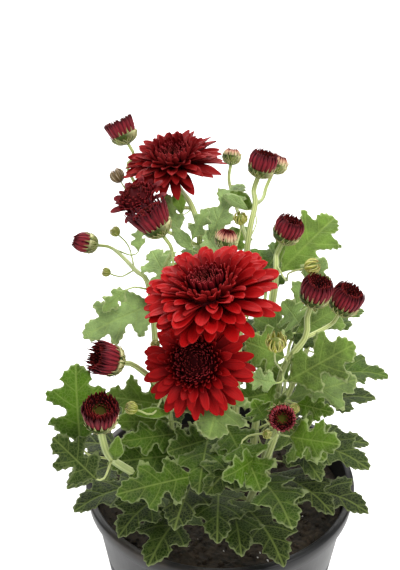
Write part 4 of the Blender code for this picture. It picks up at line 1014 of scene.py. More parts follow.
def fan(shape, rng, place, radius, row, kind, tone, cup, loose, point, turn, reach=None):
    """One whorl of petals or florets, each a little different from the next."""
    count, start, height, length, width, rise, end_rise = row
    samples, thick, ridge, across = FAN_BLADES[kind]
    for i in range(count):
        azimuth = FULL_TURN * (i + turn + loose * swing(rng, PLACE_PLAY)) / count
        long = length * radius * (1 + loose * rng.uniform(*LENGTH_PLAY)) * (reach(azimuth) if reach else 1)
        lean = loose * swing(rng, LEAN_PLAY)
        rises = (rise + lean, end_rise + lean + loose * swing(rng, TIP_PLAY))
        bend = loose * swing(rng, BEND_PLAY)
        twist = loose * swing(rng, TWIST_PLAY)
        line = ray(azimuth, (start * radius, height * radius), long, rises, samples, bend, twist)
        belly = BELLY - BELLY_DROP * point + swing(rng, BELLY_PLAY)
        wide = width * radius * rng.uniform(*WIDTH_PLAY)
        half = petal_half(samples, wide, PETAL_FOOT, belly, 0.5 + POINT_GAIN * point)
        mark = min(1.0, max(0.0, tone + swing(rng, TONE_PLAY)))
        blade(shape, line, half, kind, mark, cup, ridge, thick, across, place)


def petals(name, kind, place, radius):
    """The ray florets of one bloom round a small core."""
    shape = Shape()
    rng = random.Random(name)
    lathe(shape, CORES[kind], CORE_SEGMENTS, "dark", 0, place, radius)
    point, cup, loose = PETAL_LOOKS[name]
    rows = PETAL_ROWS[name]

    def reach(azimuth):
        return fullness(name, place, azimuth)

    for number, row in enumerate(rows):
        inner = number / (len(rows) - 1)
        # Inner rows get a higher tone, which the petal material darkens: partly painted shade deep in the
        # bloom
        deep = inner if kind == "bloom" else 0.4 + 0.6 * inner
        turn = 0.5 * (number % 2)
        fan(shape, rng, place, radius, row, "petal", deep, 0.12 + cup * inner, loose, point, turn, reach)
    if kind != "bloom":
        quills(shape, rng, name, place, radius)
    return shape


def quills(shape, rng, name, place, radius):
    """Young florets in a spiral: narrow quills, upright in the middle and leaning outwards at the edge."""
    count, hole, wide, edge, middle, long, width, rise, end_rise = HEARTS[name]
    for i in range(hole, count):
        share = math.sqrt((i + 0.5) / count)
        root = (share * wide, middle + (edge - middle) * share**2)
        length = long * (0.5 + 0.5 * share)
        rises = (90 - (90 - rise) * share, 96 - (96 - end_rise) * share)
        row = (1, *root, length, width * (0.85 + 0.3 * share), *rises)
        fan(shape, rng, place, radius, row, "floret", share**1.5, 0.45, 0.6, 0.85, i * GOLDEN_TURN)


def florets(name, place, radius):
    """The heart of a bloom on a low dark dome."""
    shape = Shape()
    wide, edge = HEARTS[name][2:4]
    dome = [(0, edge), (0.35 * wide, edge + 0.02), (0.75 * wide, edge + 0.03), (wide, edge)]
    dome += [(0.8 * wide, 0), (0, 0)]
    lathe(shape, dome, DOME_SEGMENTS, "dark", 0, place, radius)
    quills(shape, random.Random(name + " heart"), name, place, radius)
    return shape


def tub_core(tub, top, rim):
    """The outline of a bud's core: the floor of its hollow, its rim and its outer side down to its foot."""
    deep = top - HOLLOW_DEPTH
    hole = rim * HOLLOW_SHARE
    hollow = [(0, deep), (0.5 * hole, deep), (0.85 * hole, deep + 0.2)]
    lip = [(hole, top - 0.22), (hole + 0.05, top - 0.26)]
    return [*hollow, *lip, *((r - 0.06, h) for r, h in reversed(tub)), (0, tub[0][1] - 0.04)]


def strips(shape, rng, name, tub, top, place, radius):
    """Two rings of pointed strips up the outside of a bud, the one set back behind the other darker as
    painted shade.
    """
    count, rim, proud, uneven, _ = BUD_LOOKS[name]
    shoulder = (0.5 * (tub[-1][0] + rim) + 0.03, 0.42 * tub[-1][1] + 0.58 * top)
    outline = (*tub, shoulder, (rim, top))
    stretch = np.clip((STRIP_SAMPLES - FREE_FROM) / FREE_SPAN, 0, 1)[:, None] ** FREE_POWER
    for ring, sunk in ((1, -0.4), (0, 0.0)):
        for azimuth in ring_of(count, 0.5 * ring, STRIP_PLAY, rng):
            points, sides, outs = rib(azimuth, outline, radius, 0.0, 1.0, STRIP_SAMPLES, sunk)
            lift = proud + uneven * rng.uniform(*STRIP_LIFTS)
            flare = outs * (uneven * rng.uniform(*STRIP_FLARES))
            points = points + stretch * radius * (UP * lift + flare)
            wide = rng.uniform(*STRIP_WIDTHS)
            half = spacing(points, count) * pointed_half(STRIP_SAMPLES, wide, 1.0, 0.66 + 0.1 * ring)
            # The ring set back gets a higher tone, which the strip material darkens as painted shade; the
            # rest is random
            tone = rng.uniform(0.0, 0.55) + 0.45 * ring
            line = (points, sides, outs)
            blade(shape, line, half, "strip", tone, STRIP_CUP, 0.0, PETAL_THICK, STRIP_ACROSS, place)


def red_bud(name, kind, place, radius):
    """A red bud: strips round a dark hollow, and the tips of the florets that line it."""
    shape = Shape()
    rng = random.Random(name)
    count, rim, _, uneven, green = BUD_LOOKS[name]
    tub, top = TUBS[kind]
    lathe(shape, tub_core(tub, top, rim), CORE_SEGMENTS, "hollow", green, place, radius)
    strips(shape, rng, name, tub, top, place, radius)
    if name in HEARTS:
        quills(shape, rng, name, place, radius)
        return shape
    for ring, share in enumerate(LINING):
        tall = (0.4 + uneven) * (1 - 0.12 * ring)
        height = top - HOLLOW_DEPTH + 0.12 - 0.05 * ring
        row = (count - 4 * ring, share * rim, height, tall, 0.15, 86, 100 + 6 * ring)
        fan(shape, rng, place, radius, row, "floret", 0.3, 0.4, 1.0, 0.9, 0.5 * ring)
    return shape


def bract(shape, line, count, width, foot, kind, tone, cup, thick, place):
    """One bract of a ring, as wide as its room and with a pointed tip."""
    half = spacing(line[0], count).max() * pointed_half(FLORET_SAMPLES, width, foot, 0.45)
    blade(shape, line, half, kind, tone, cup, 0.0, thick, STRIP_ACROSS, place)


def calyx(shape, name, kind, place, radius, rng):
    """Narrow overlapping bracts with thin pale edges that hold a head from below."""
    outline, count, last = CALYX[kind]
    last = COLLARS.get(name, last)
    body = outline_at(outline, np.linspace(0, 1, 8)).tolist()
    wide, top = body[-1]
    profile = [(0, top - 0.02), (wide - 0.06, top - 0.02), *reversed(body), (0, body[0][1])]
    lathe(shape, profile, CORE_SEGMENTS, "calyx", 0.0, place, radius)
    for start, end, proud, shift in (*BRACT_ROWS, (LAST_ROW_FROM, last, LAST_ROW_PROUD, 0.0)):
        for azimuth in ring_of(count, shift, BRACT_PLAY, rng):
            reach = end * rng.uniform(*BRACT_LENGTHS)
            extra = max(0.0, reach - 1.0) * radius
            end_here = min(reach, 1.0)
            points, sides, outs = rib(azimuth, outline, radius, start, end_here, FLORET_SAMPLES, 0.1 + proud)
            flare = outs * (1.1 if last > WIDE_COLLAR else 0.1)
            points = points + FLORET_SAMPLES[:, None] ** 3 * (flare + UP * extra * 1.2)
            line = (points, sides, outs)
            bract(shape, line, count, 0.68, 0.6, "calyx", rng.random(), -0.25, BRACT_THICK, place)


def green_bud(shape, name, place, radius, rng):
    """A small closed bud of ribbed bracts, or a star of them where it has begun to open."""
    star = STAR_TIPS.get(name, 0.0)
    kind = "dusky" if name == DUSKY_TIP else "tip"
    lathe(shape, GREEN_CORE, GREEN_SEGMENTS, kind, 0.0, place, radius)
    for ring, (count, end) in enumerate(GREEN_RINGS):
        for azimuth in ring_of(count, 0.5 * ring, GREEN_PLAY, rng):
            proud = 0.1 + 0.12 * ring
            points, sides, outs = rib(azimuth, GREEN_OUTLINE, radius, 0.0, end, FLORET_SAMPLES, proud)
            points = points + FLORET_SAMPLES[:, None] ** 2 * outs * star * radius
            tone = rng.uniform(0.5, 1.0) if star else rng.uniform(0.1, 0.5)
            bract(shape, (points, sides, outs), count, 0.82, 0.5, kind, tone, STRIP_CUP, FLORET_THICK, place)


# Stems
PATH_STEP = 3.0
STALK_RIBS = 7
RIB_DEPTH = 0.09
STALK_HAIR_LENGTH = 0.75

# Stalks: sides, ribs, and hairs at each point of the path
MAIN_STALK = (14, STALK_RIBS, 8)
SIDE_STALK = (10, 5, 4)

# Radii, steps and depths of the stems, in millimetres
NODE_SWELL = 0.07
NODE_SPACING = 0.55
ROOT_RADIUS = 2.3
NECK_RADII = {"stem_left": 0.8, "stem_left_front": 1.1, "stem_low_left": 1.5}
NECK_RADIUS = 1.25
STALK_RADIUS = 0.9
BUD_STALK_RADIUS = 0.4
STALK_TAPER = 1.15
MAIN_STEP = 32
SIDE_STEP = 15
UPRIGHT = 6
HEAD_LEAD = 8
CUP_SINK = 0.5
GREEN_SINK = 0.2
SOIL_TOP = 108.0
HOLE_DEPTH = 15.0
GAP = 0.3
CUP_FLOOR = 1.6
CUP_FEET = {"bloom": 0.34, "half": 0.56, "opening": 0.64, "bud": 0.8, "shut": 1.12, "button": 0.82}


def head_foot(kind, radius):
    """How far below a head's middle its stalk ends, in millimetres."""
    if kind == "green":
        return radius
    return CUP_FEET[kind] * radius + GAP + CUP_FLOOR


def stem_of(head):
    """The main stem that a head's stalk grows from."""
    carrier = HEADS[head][4]
    return carrier if carrier in ROOTS else stem_of(carrier)


def stalk_paths():
    """Two paths of every head's stalk, by the head's name: one with the solids' few points, from which the
    stalks and leaves branch, and a smooth one through them."""
    coarse = {}
    fine = {}
    leaders_first = sorted(HEADS.items(), key=lambda row: row[1][4] not in ROOTS)
    for name, (kind, middle, facing, diameter, carrier, share) in leaders_first:
        facing = Vector(facing).normalized()
        foot = Vector(middle) - facing * head_foot(kind, diameter / 2)
        sink = CUP_SINK if kind != "green" else GREEN_SINK * diameter
        end = foot + facing * sink
        if carrier in ROOTS:
            (x, y), way = ROOTS[carrier]
            start = [Vector((x, y, SOIL_TOP - HOLE_DEPTH + GAP)), Vector((x, y, SOIL_TOP + UPRIGHT))]
            lead = HEAD_LEAD
            step = MAIN_STEP
        else:
            start = [coarse[carrier][round(share * (len(coarse[carrier]) - 1))]]
            way = BENDS.get(name, [])
            lead = min(HEAD_LEAD, 0.3 * (start[0] - end).length)
            step = SIDE_STEP
        knots = [*start, *map(Vector, way), foot - facing * lead, end]
        coarse[name] = curve_through(knots, step)
        fine[name] = curve_through(knots, PATH_STEP)
    return coarse, fine


def stem_radii(path, radii):
    """A taper with a slight swelling every so often, where leaves leave the stem."""
    share = np.linspace(0, 1, len(path))
    base = radii[0] + (radii[1] - radii[0]) * share
    swell = NODE_SWELL * np.clip(np.sin(share * len(path) * NODE_SPACING), 0, 1) ** 6
    return base * (1 + swell)


def stalk(shape, kind, stem, path, main, rng):
    """A downy ribbed stalk: the main one of its stem, or a side stalk."""
    thin = STALK_RADIUS if kind != "green" else BUD_STALK_RADIUS
    radii = (ROOT_RADIUS, NECK_RADII.get(stem, NECK_RADIUS)) if main else (thin * STALK_TAPER, thin)
    sides, ribs, hairs = MAIN_STALK if main else SIDE_STALK
    line = tube(shape, path, stem_radii(path, radii), sides, rng.uniform(0.1, 0.6), ribs, RIB_DEPTH)
    hairs_on_stalk(shape, line, hairs * len(path), STALK_HAIR_LENGTH, rng)


def lower_leaf(shape, carrier, row, rng):
    """A leaf of the lower tiers, which spreads outwards from its stem."""
    azimuth, base_radius, base_height, tip_radius, tip_height, width = row
    out = Vector((math.cos(math.radians(azimuth)), math.sin(math.radians(azimuth)), 0))
    base = out * base_radius + Vector((0, 0, base_height))
    tip = out * tip_radius + Vector((0, 0, tip_height))
    face = Vector((0, 0, 1)) - out * LOWER_TILT
    # The dark tones are painted shade for the leaves low in the plant
    leaf(shape, carrier, base, tip, width, face, LOWER_ARCH, rng.uniform(-0.8, -0.2), rng)


def foliage(name, coarse, fine):
    """One stem with its side stalks, calyxes, small green buds and leaves."""
    shape = Shape()
    rng = random.Random(name)
    for head, (kind, middle, facing, diameter, carrier, _) in HEADS.items():
        if stem_of(head) == name:
            place = standing(middle, facing)
            stalk(shape, kind, name, fine[head], carrier == name, rng)
            if kind == "green":
                green_bud(shape, head, place, diameter / 2, rng)
            else:
                calyx(shape, head, kind, place, diameter / 2, rng)
    seeded = [(f"leaf_{key}", row) for key, row in LEAVES.items()]
    seeded += [(f"fill {number}", row) for number, row in enumerate(FILL_LEAVES)]
    for seed, (carrier, *form) in seeded:
        if stem_of(carrier) == name:
            leaf(shape, coarse[carrier], *form, random.Random(seed))
    top = next(head for head, row in HEADS.items() if row[4] == name)
    for number, (stem, *row) in enumerate(LOWER_LEAVES):
        if stem == name:
            lower_leaf(shape, coarse[top], row, random.Random(number))
    return shape


# Pot and soil
POT_HEIGHT = 120.0
POT_TOP_RADIUS = 71.0
POT_BASE_RADIUS = 53.0
POT_WALL = 1.6
POT_FLOOR = 2.4
RIM_HEIGHT = 9.0
RIM_OVERHANG = 2.6
RIM_ROUND = 1.0
RIM_BEVEL = 0.3

# The wall below the rim, with one fine groove: height, and how far it is set in there
WALL_LINE = ((80, 0), (79.4, 0.35), (78.2, 0.35), (77.6, 0), (30, 0), (4, 0))
SOIL_RINGS = 44
SOIL_RING_POWER = 0.85
SOIL_SEGMENTS = 140
SOIL_MOUND = 2.5
MOUND_POWER = 1.4

# Unevenness of the soil's top: frequency of the noise, and height
SOIL_SWELLS = (0.09, 0.9)
SOIL_CRUMBS = (0.42, 0.95)
LUMPS = 520
PALE_EVERY = 9
LUMP = ((0, 0.8), (0.75, 0.4), (0.8, -0.35), (0, -0.8))


def wall_radius(height):
    """The outer radius of the pot's wall at a height."""
    return POT_BASE_RADIUS + (POT_TOP_RADIUS - POT_BASE_RADIUS) * height / POT_HEIGHT


def nursery_pot():
    """A tapered pot with a rounded, rolled-over rim."""
    shape = Shape()
    rim_foot = POT_HEIGHT - RIM_HEIGHT
    rim = POT_TOP_RADIUS + RIM_OVERHANG
    floor_edge = POT_BASE_RADIUS - POT_WALL
    mouth = POT_TOP_RADIUS - POT_WALL
    profile = [
        (0, POT_FLOOR),
        (floor_edge - 3, POT_FLOOR),
        (floor_edge - 0.9, POT_FLOOR + 0.8),
        (wall_radius(5.4) - POT_WALL, POT_FLOOR + 3),
        (wall_radius(60) - POT_WALL, 60),
        (mouth, POT_HEIGHT - RIM_ROUND),
        (mouth + RIM_BEVEL, POT_HEIGHT - RIM_BEVEL),
        (mouth + 1, POT_HEIGHT),
        (rim - RIM_ROUND, POT_HEIGHT),
        (rim - RIM_BEVEL, POT_HEIGHT - RIM_BEVEL),
        (rim, POT_HEIGHT - RIM_ROUND),
        (rim - 0.5, POT_HEIGHT - 5),
        (rim - RIM_ROUND, rim_foot + 0.6),
        (rim - RIM_ROUND - 0.4, rim_foot),
        (wall_radius(rim_foot) + 0.5, rim_foot),
        (wall_radius(rim_foot), rim_foot - 0.6),
        *((wall_radius(height) - inset, height) for height, inset in WALL_LINE),
        (POT_BASE_RADIUS + 0.2, 1),
        (POT_BASE_RADIUS - 1, 0),
        (POT_BASE_RADIUS - 4, 0),
        (POT_BASE_RADIUS - 5, 0.8),
        (0, 0.8),
    ]
    lathe(shape, profile, POT_SEGMENTS, "pot", 0)
    return shape


def lump(shape, place, size, kind, tone, rng):
    """A crumb of bark or a pale grain: a rough closed bead."""
    stretch = [rng.uniform(0.6, 1.3) for _ in range(3)]
    turn = Matrix.Rotation(rng.uniform(0, 6), 3, Vector([rng.uniform(-1, 1) for _ in range(3)]))

    def rough(points):
        moved = points * np.array([rng.uniform(0.75, 1.2) for _ in range(len(points))])[:, None] * stretch
        return moved @ np.array(turn).T + place

    lathe(shape, LUMP, LUMP_SEGMENTS, kind, tone, scale=size, wobble=rough)


def soil_height(share):
    """The height of the soil's top at a share of its radius, before it is crumbled."""
    return SOIL_TOP + SOIL_MOUND * (1 - share**MOUND_POWER)


def crumbled(points, edge):
    """The soil's points, with those of its top moved up and down."""
    moved = points.copy()
    for k, point in enumerate(points):
        if point[2] > SOIL_TOP - 1:
            fade = min(1.0, (edge - math.hypot(point[0], point[1])) / 3 + 0.15)
            swell = noise.noise(Vector(point) * SOIL_SWELLS[0])
            crumb = noise.noise(Vector(point) * SOIL_CRUMBS[0]) + 0.6 * noise.noise(Vector(point) * 0.95)
            moved[k, 2] += fade * (SOIL_SWELLS[1] * swell + SOIL_CRUMBS[1] * crumb)
    return moved


def potting_soil():
    """Crumbly potting mix with bits of bark and a few pale grains."""
    shape = Shape()
    rng = random.Random("soil")
    foot = POT_FLOOR + GAP
    edge = wall_radius(SOIL_TOP) - POT_WALL - 2 * GAP
    rings = np.linspace(0, 1, SOIL_RINGS)[1:] ** SOIL_RING_POWER
    profile = [
        (0, SOIL_TOP + SOIL_MOUND),
        *((edge * share, soil_height(share)) for share in rings),
        *((wall_radius(height) - POT_WALL - 2 * GAP, height) for height in (SOIL_TOP - 6, foot + 5)),
        (POT_BASE_RADIUS - POT_WALL - 2 * GAP - 5, foot),
        (0, foot),
    ]
    lathe(shape, profile, SOIL_SEGMENTS, "soil", 0, wobble=lambda points: crumbled(points, edge))
    for number in range(LUMPS):
        radius = edge * math.sqrt(rng.random()) * 0.97
        azimuth = rng.uniform(0, FULL_TURN)
        height = soil_height(radius / edge) + rng.uniform(-0.2, 0.7)
        place = (radius * math.cos(azimuth), radius * math.sin(azimuth), height)
        pale = number % PALE_EVERY == 0
        size = rng.uniform(0.5, 1.1) if pale else rng.uniform(0.7, 2.1)
        lump(shape, place, size, "grain" if pale else "soil", rng.random(), rng)
    return shape


# Materials. Each reads the marks of the shapes: along, across and tone from grow, under and rim from side
class Tree:
    """A material's node tree with short ways to add and join nodes."""

    def __init__(self, name, **shine):
        self.material = bpy.data.materials.new(name)
        self.material.use_nodes = True
        self.tree = self.material.node_tree
        self.shader = self.tree.nodes["Principled BSDF"]
        for label, value in shine.items():
            self.shader.inputs[label.replace("_", " ")].default_value = value
        self.grow = self.node("ShaderNodeAttribute", attribute_name="grow").outputs["Vector"]
        side = self.node("ShaderNodeAttribute", attribute_name="side").outputs["Vector"]
        self.along, self.across, self.tone = self.node("ShaderNodeSeparateXYZ", self.grow).outputs
        self.under, self.rim = self.node("ShaderNodeSeparateXYZ", side).outputs[:2]

    def node(self, kind, *values, named=None, **settings):
        """A node with its settings, and its inputs linked or set in order or by name."""
        made = self.tree.nodes.new(kind)
        for key, value in settings.items():
            setattr(made, key, value)
        for socket, value in zip(made.inputs, values):
            self.feed(socket, value)
        for label, value in (named or {}).items():
            self.feed(made.inputs[label], value)
        return made

    def feed(self, socket, value):
        """Links or sets one input."""
        if isinstance(value, bpy.types.NodeSocket):
            self.tree.links.new(value, socket)
        elif value is not None:
            socket.default_value = value

    def math(self, operation, *values):
        """A Math node's result."""
        return self.node("ShaderNodeMath", *values, operation=operation).outputs[0]

    def times(self, first, second):
        """The product of two values."""
        return self.math("MULTIPLY", first, second)

    def line(self, value, slope, start):
        """A value on a straight line: value times slope, plus start."""
        return self.math("MULTIPLY_ADD", value, slope, start)

    def rest(self, value):
        """What is left of 1."""
        return self.math("SUBTRACT", 1.0, value)

    def far(self):
        """How far from the blade's middle line: 0 on it and 1 at the edge."""
        return self.math("ABSOLUTE", self.across)

    def between(self, value, low, high):
        """0 below low, 1 above high, and smooth between."""
        made = self.node("ShaderNodeMapRange", value, low, high, 0.0, 1.0, interpolation_type="SMOOTHSTEP")
        return made.outputs[0]

    def blend(self, factor, first, second):
        """A mix of two colours."""
        colours = [(*colour, 1) if isinstance(colour, tuple) else colour for colour in (first, second)]
        return self.node("ShaderNodeMix", factor, *[None] * 5, *colours, data_type="RGBA").outputs[2]

    def tint(self, colour, other, factor, share):
        """A colour with another over it, as strong as the factor times the share."""
        return self.blend(self.times(factor, share), colour, other)

    def scaled(self, colour, share):
        """A colour made darker or lighter."""
        return self.node("ShaderNodeVectorMath", colour, named={"Scale": share}, operation="SCALE").outputs[0]

    def stretched(self, vector, scale):
        """A vector with its parts scaled."""
        return self.node("ShaderNodeMapping", vector, named={"Scale": scale}).outputs[0]

    def place(self, scale=(1, 1, 1)):
        """The place on the object, scaled."""
        return self.stretched(self.node("ShaderNodeTexCoord").outputs["Object"], scale)

    def height(self, where):
        """The height of a place."""
        return self.node("ShaderNodeSeparateXYZ", where).outputs[2]

    def noise(self, vector, scale, detail=3.0, roughness=0.55):
        """Noise from 0 to 1."""
        named = {"Vector": vector, "Scale": scale, "Detail": detail, "Roughness": roughness}
        return self.node("ShaderNodeTexNoise", named=named).outputs[0]

    def cells(self, vector, scale):
        """The distance from the edge of the nearest cell of a net."""
        named = {"Vector": vector, "Scale": scale}
        return self.node("ShaderNodeTexVoronoi", named=named, feature="DISTANCE_TO_EDGE").outputs["Distance"]

    def streaks(self, across, along):
        """Noise drawn out along the blade."""
        return self.noise(self.stretched(self.grow, (along, across, 60.0)), 1.0, 2.0)

    def finish(self, colour, roughness, height=None, strength=0.3, distance=0.0002, through=None, share=0.0):
        """Joins colour, roughness, bump and, for thin growth, the light that comes through it."""
        self.feed(self.shader.inputs["Base Color"], colour)
        self.feed(self.shader.inputs["Roughness"], roughness)
        if height is not None:
            named = {"Strength": strength, "Distance": distance, "Height": height}
            self.feed(self.shader.inputs["Normal"], self.node("ShaderNodeBump", named=named).outputs[0])
        if through is not None:
            lit = self.node("ShaderNodeBsdfTranslucent", through).outputs[0]
            mixed = self.node("ShaderNodeMixShader", share, self.shader.outputs[0], lit)
            self.feed(self.tree.nodes["Material Output"].inputs["Surface"], mixed.outputs[0])
        return self.material


def petal_material(name, deep, red, bright, edge, reverse):
    """A ray petal: dark at its foot, partly as painted shade, brighter towards its tip, with a fine pale edge
    and a dull reverse; inner rows darker, also partly painted shade.
    """
    t = Tree(name, Specular_IOR_Level=0.12)
    streaks = t.streaks(7.0, 1.2)
    # The dark foot is partly painted shade at the base of the petal
    colour = t.blend(t.between(t.along, 0.1, 0.6), deep, red)
    colour = t.tint(colour, bright, t.between(t.along, 0.5, 1.0), 0.8)
    colour = t.tint(colour, deep, t.between(streaks, 0.42, 0.75), 0.4)
    # Higher tones, those of the inner rows, darken the petal: partly painted shade deep in the bloom
    colour = t.tint(colour, deep, t.between(t.tone, 0.35, 1.0), 0.72)
    border = t.times(t.between(t.far(), 0.84, 1.0), t.between(t.along, 0.3, 0.9))
    border = t.math("MAXIMUM", border, t.between(t.along, 0.97, 1.0))
    colour = t.tint(colour, edge, border, t.line(t.tone, -0.15, 0.4))
    colour = t.tint(colour, reverse, t.under, 0.7)
    lit = t.blend(t.line(t.between(t.tone, 0.3, 1.0), -0.34, 0.4), colour, PETAL_GLOW)
    return t.finish(colour, t.line(streaks, 0.2, 0.42), streaks, 0.3, 0.0004, lit, 0.2)


def floret_material():
    """A young floret: near black and maroon, darkest at its foot and in the middle of the heart partly as
    painted shade, with a pink tip that is partly a painted highlight.
    """
    t = Tree("heart_florets", Specular_IOR_Level=0.04)
    streaks = t.streaks(6.0, 1.0)
    # The near-black foot is partly painted shade in the gaps between florets
    colour = t.blend(t.between(t.along, 0.15, 0.8), (0.018, 0.0004, 0.0012), (0.15, 0.004, 0.008))
    # Florets near the middle go near black: partly painted shade in the heart's hollow
    colour = t.tint(colour, (0.024, 0.006, 0.003), t.rest(t.between(t.tone, 0.1, 0.95)), 0.88)
    margin = t.times(t.between(t.far(), 0.55, 1.0), t.between(t.along, 0.3, 0.8))
    colour = t.tint(colour, (0.4, 0.035, 0.035), margin, 0.5)
    colour = t.tint(colour, (0.06, 0.002, 0.004), t.under, 0.4)
    # The pink tip is partly a painted highlight
    colour = t.tint(colour, (0.55, 0.07, 0.08), t.between(t.along, 0.88, 0.99), t.line(t.tone, 0.35, 0.22))
    return t.finish(colour, 0.7, streaks, 0.3, 0.0002)


def strip_material(name, foot, middle, groove, tip, from_foot, to_tip):
    """A folded petal of a bud, with a paler line down it and painted shade towards its edges where the strips
    meet, another colour at its foot and a dark tip.
    """
    t = Tree(name, Specular_IOR_Level=0.12)
    streaks = t.streaks(5.0, 1.0)
    colour = t.blend(t.between(t.along, from_foot, from_foot + 0.35), foot, middle)
    colour = t.tint(colour, groove, t.between(streaks, 0.4, 0.7), 0.4)
    # Painted shade: the groove colour darkens the edges, where the strips meet
    colour = t.blend(t.between(t.far(), 0.45, 1.0), colour, groove)
    # Painted shade: higher tones, those of the ring set back, take more of the groove colour
    colour = t.tint(colour, groove, t.between(t.tone, 0.1, 0.9), 0.7)
    colour = t.tint(colour, tip, t.between(t.along, to_tip, to_tip + 0.4), 0.85)
    colour = t.tint(colour, tip, t.under, 0.8)
    return t.finish(colour, t.line(streaks, 0.2, 0.4), streaks, 0.5, 0.0003)


def hollow_material():
    """The shaded inside of a bud, from near black to olive."""
    t = Tree("bud_hollow", Specular_IOR_Level=0.05)
    grain = t.noise(t.place(), 900.0)
    middle = t.times(t.tone, t.rest(t.between(t.along, 0.0, 0.11)))
    colour = t.blend(middle, (0.012, 0.001, 0.002), (0.06, 0.06, 0.006))
    colour = t.tint(colour, (0.015, 0.004, 0.003), grain, 0.4)
    return t.finish(colour, 0.8, grain, 0.8, 0.0004)


def core_shade_material():
    """The near-black core between the petals and under the florets, which hardly shows: painted shade in the
    gaps between them.
    """
    t = Tree("petal_core", Specular_IOR_Level=0.05)
    grain = t.noise(t.place(), 700.0, 2.0)
    return t.finish(t.blend(grain, (0.03, 0.002, 0.003), (0.07, 0.004, 0.006)), 0.7, grain, 0.6, 0.0003)


def bract_material(name, dark, green, pale, edge_from, edge_share):
    """A bract with a thin pale edge and a brownish tip."""
    t = Tree(name, Specular_IOR_Level=0.25)
    streaks = t.streaks(6.0, 1.5)
    colour = t.blend(t.tone, dark, green)
    colour = t.tint(colour, dark, t.between(streaks, 0.35, 0.7), 0.5)
    colour = t.tint(colour, pale, t.between(t.far(), edge_from, 0.95), edge_share)
    colour = t.tint(colour, BRACT_TIP, t.between(t.along, 0.76, 0.98), 0.6)
    return t.finish(colour, 0.55, streaks, 0.4, 0.0003, t.blend(0.5, colour, BRACT_GLOW), 0.12)


def stalk_material():
    """A ribbed stalk: pale yellow green ribs with greener grooves and fine down."""
    t = Tree("stalk_green", Specular_IOR_Level=0.3, Sheen_Weight=0.2, Sheen_Roughness=0.6)
    ribs = t.math("SINE", t.times(t.across, math.pi * STALK_RIBS))
    patches = t.noise(t.place((1, 1, 0.25)), 90.0)
    pale = t.blend(t.tone, (0.66, 0.68, 0.3), (0.36, 0.47, 0.12))
    colour = t.blend(t.line(t.between(ribs, -0.9, 0.6), 0.6, 0.4), (0.18, 0.27, 0.045), pale)
    colour = t.tint(colour, (0.2, 0.29, 0.08), t.between(patches, 0.45, 0.8), 0.4)
    woody = t.rest(t.between(t.height(t.place()), 0.112, 0.175))
    colour = t.tint(colour, (0.13, 0.14, 0.05), woody, 0.55)
    return t.finish(colour, 0.5, ribs, 0.3, 0.0002, (*STALK_GLOW, 1), 0.12)


def leaf_veins(t):
    """1 on a leaf's midrib and less on its side veins, which leave it at the vein spacing."""
    off = t.times(t.far(), 0.5)
    lead = t.times(t.times(off, VEIN_LEAN), t.line(t.along, VEIN_LEAN_TIP, VEIN_LEAN_FOOT))
    start = t.math("SUBTRACT", t.along, lead)
    place = t.math("DIVIDE", t.math("SUBTRACT", start, VEIN_START), VEIN_SPACING)
    gap = t.math("ABSOLUTE", t.math("SUBTRACT", place, t.math("ROUND", place)))
    side = t.times(t.rest(t.between(gap, 0.015, 0.09)), 0.75)
    return t.math("MAXIMUM", side, t.rest(t.between(off, 0.006, 0.03)))


def leaf_shade(t, where, patches):
    """How light a leaf is: patchy light and dark, partly its own tone and partly painted light and shade, and
    darker low in the plant as painted shade.
    """
    shade = t.line(t.between(patches, 0.36, 0.64), 0.5, 0.55)
    shade = t.math("ADD", shade, t.times(t.between(t.noise(where, 42.0, 2.0), 0.4, 0.6), 0.4))
    # Painted shade: the lower the leaf, the darker its colour
    shade = t.times(shade, t.line(t.between(t.height(where), 0.15, 0.236), 0.68, 0.32))
    return t.times(shade, t.line(t.noise(where, 1500.0, 2.0), 0.4, 0.74))


def leaf_material():
    """A leaf: green by its tone, with paler veins, a fine net between them, down along its edge, and a paler,
    duller underside."""
    t = Tree("leaf_green", Specular_IOR_Level=0.22)
    where = t.place()
    vein = leaf_veins(t)
    net = t.rest(t.between(t.cells(where, 620.0), 0.02, 0.16))
    patches = t.noise(where, 110.0, 4.0)
    shade = leaf_shade(t, where, patches)
    green = t.blend(t.between(t.tone, -1.0, 0.0), (0.018, 0.036, 0.002), (0.066, 0.15, 0.001))
    green = t.blend(t.between(t.tone, 0.0, 0.5), green, (0.095, 0.17, 0.012))
    green = t.blend(t.between(t.tone, 0.5, 1.2), green, (0.345, 0.48, 0.195))
    # The shade scales the colour and, below, the light through the leaf: partly painted light and shade
    colour = t.scaled(green, shade)
    lines = t.math("MAXIMUM", vein, t.times(net, 0.4))
    colour = t.tint(colour, t.blend(0.38, colour, (0.46, 0.6, 0.14)), lines, 0.72)
    colour = t.tint(colour, t.blend(0.5, colour, (0.28, 0.38, 0.13)), t.under, 0.4)
    colour = t.tint(colour, (0.52, 0.6, 0.27), t.between(t.rim, 0.45, 1.0), t.line(t.tone, 0.25, 0.4))
    height = t.math("SUBTRACT", t.times(patches, 0.6), t.times(vein, 0.8))
    height = t.math("SUBTRACT", height, t.times(net, 0.35))
    through = t.blend(t.between(t.tone, -1.0, 0.0), (0.05, 0.11, 0.004), (0.17, 0.33, 0.006))
    through = t.blend(t.between(t.tone, 0.0, 1.0), through, (0.36, 0.47, 0.165))
    return t.finish(colour, t.line(patches, 0.2, 0.45), height, 0.6, 0.0007, t.scaled(through, shade), 0.27)


def hair_material():
    """Pale down."""
    t = Tree("pale_down", Specular_IOR_Level=0.3)
    return t.finish(t.blend(t.noise(t.place(), 400.0, 1.0), (0.5, 0.56, 0.34), (0.72, 0.76, 0.56)), 0.6)


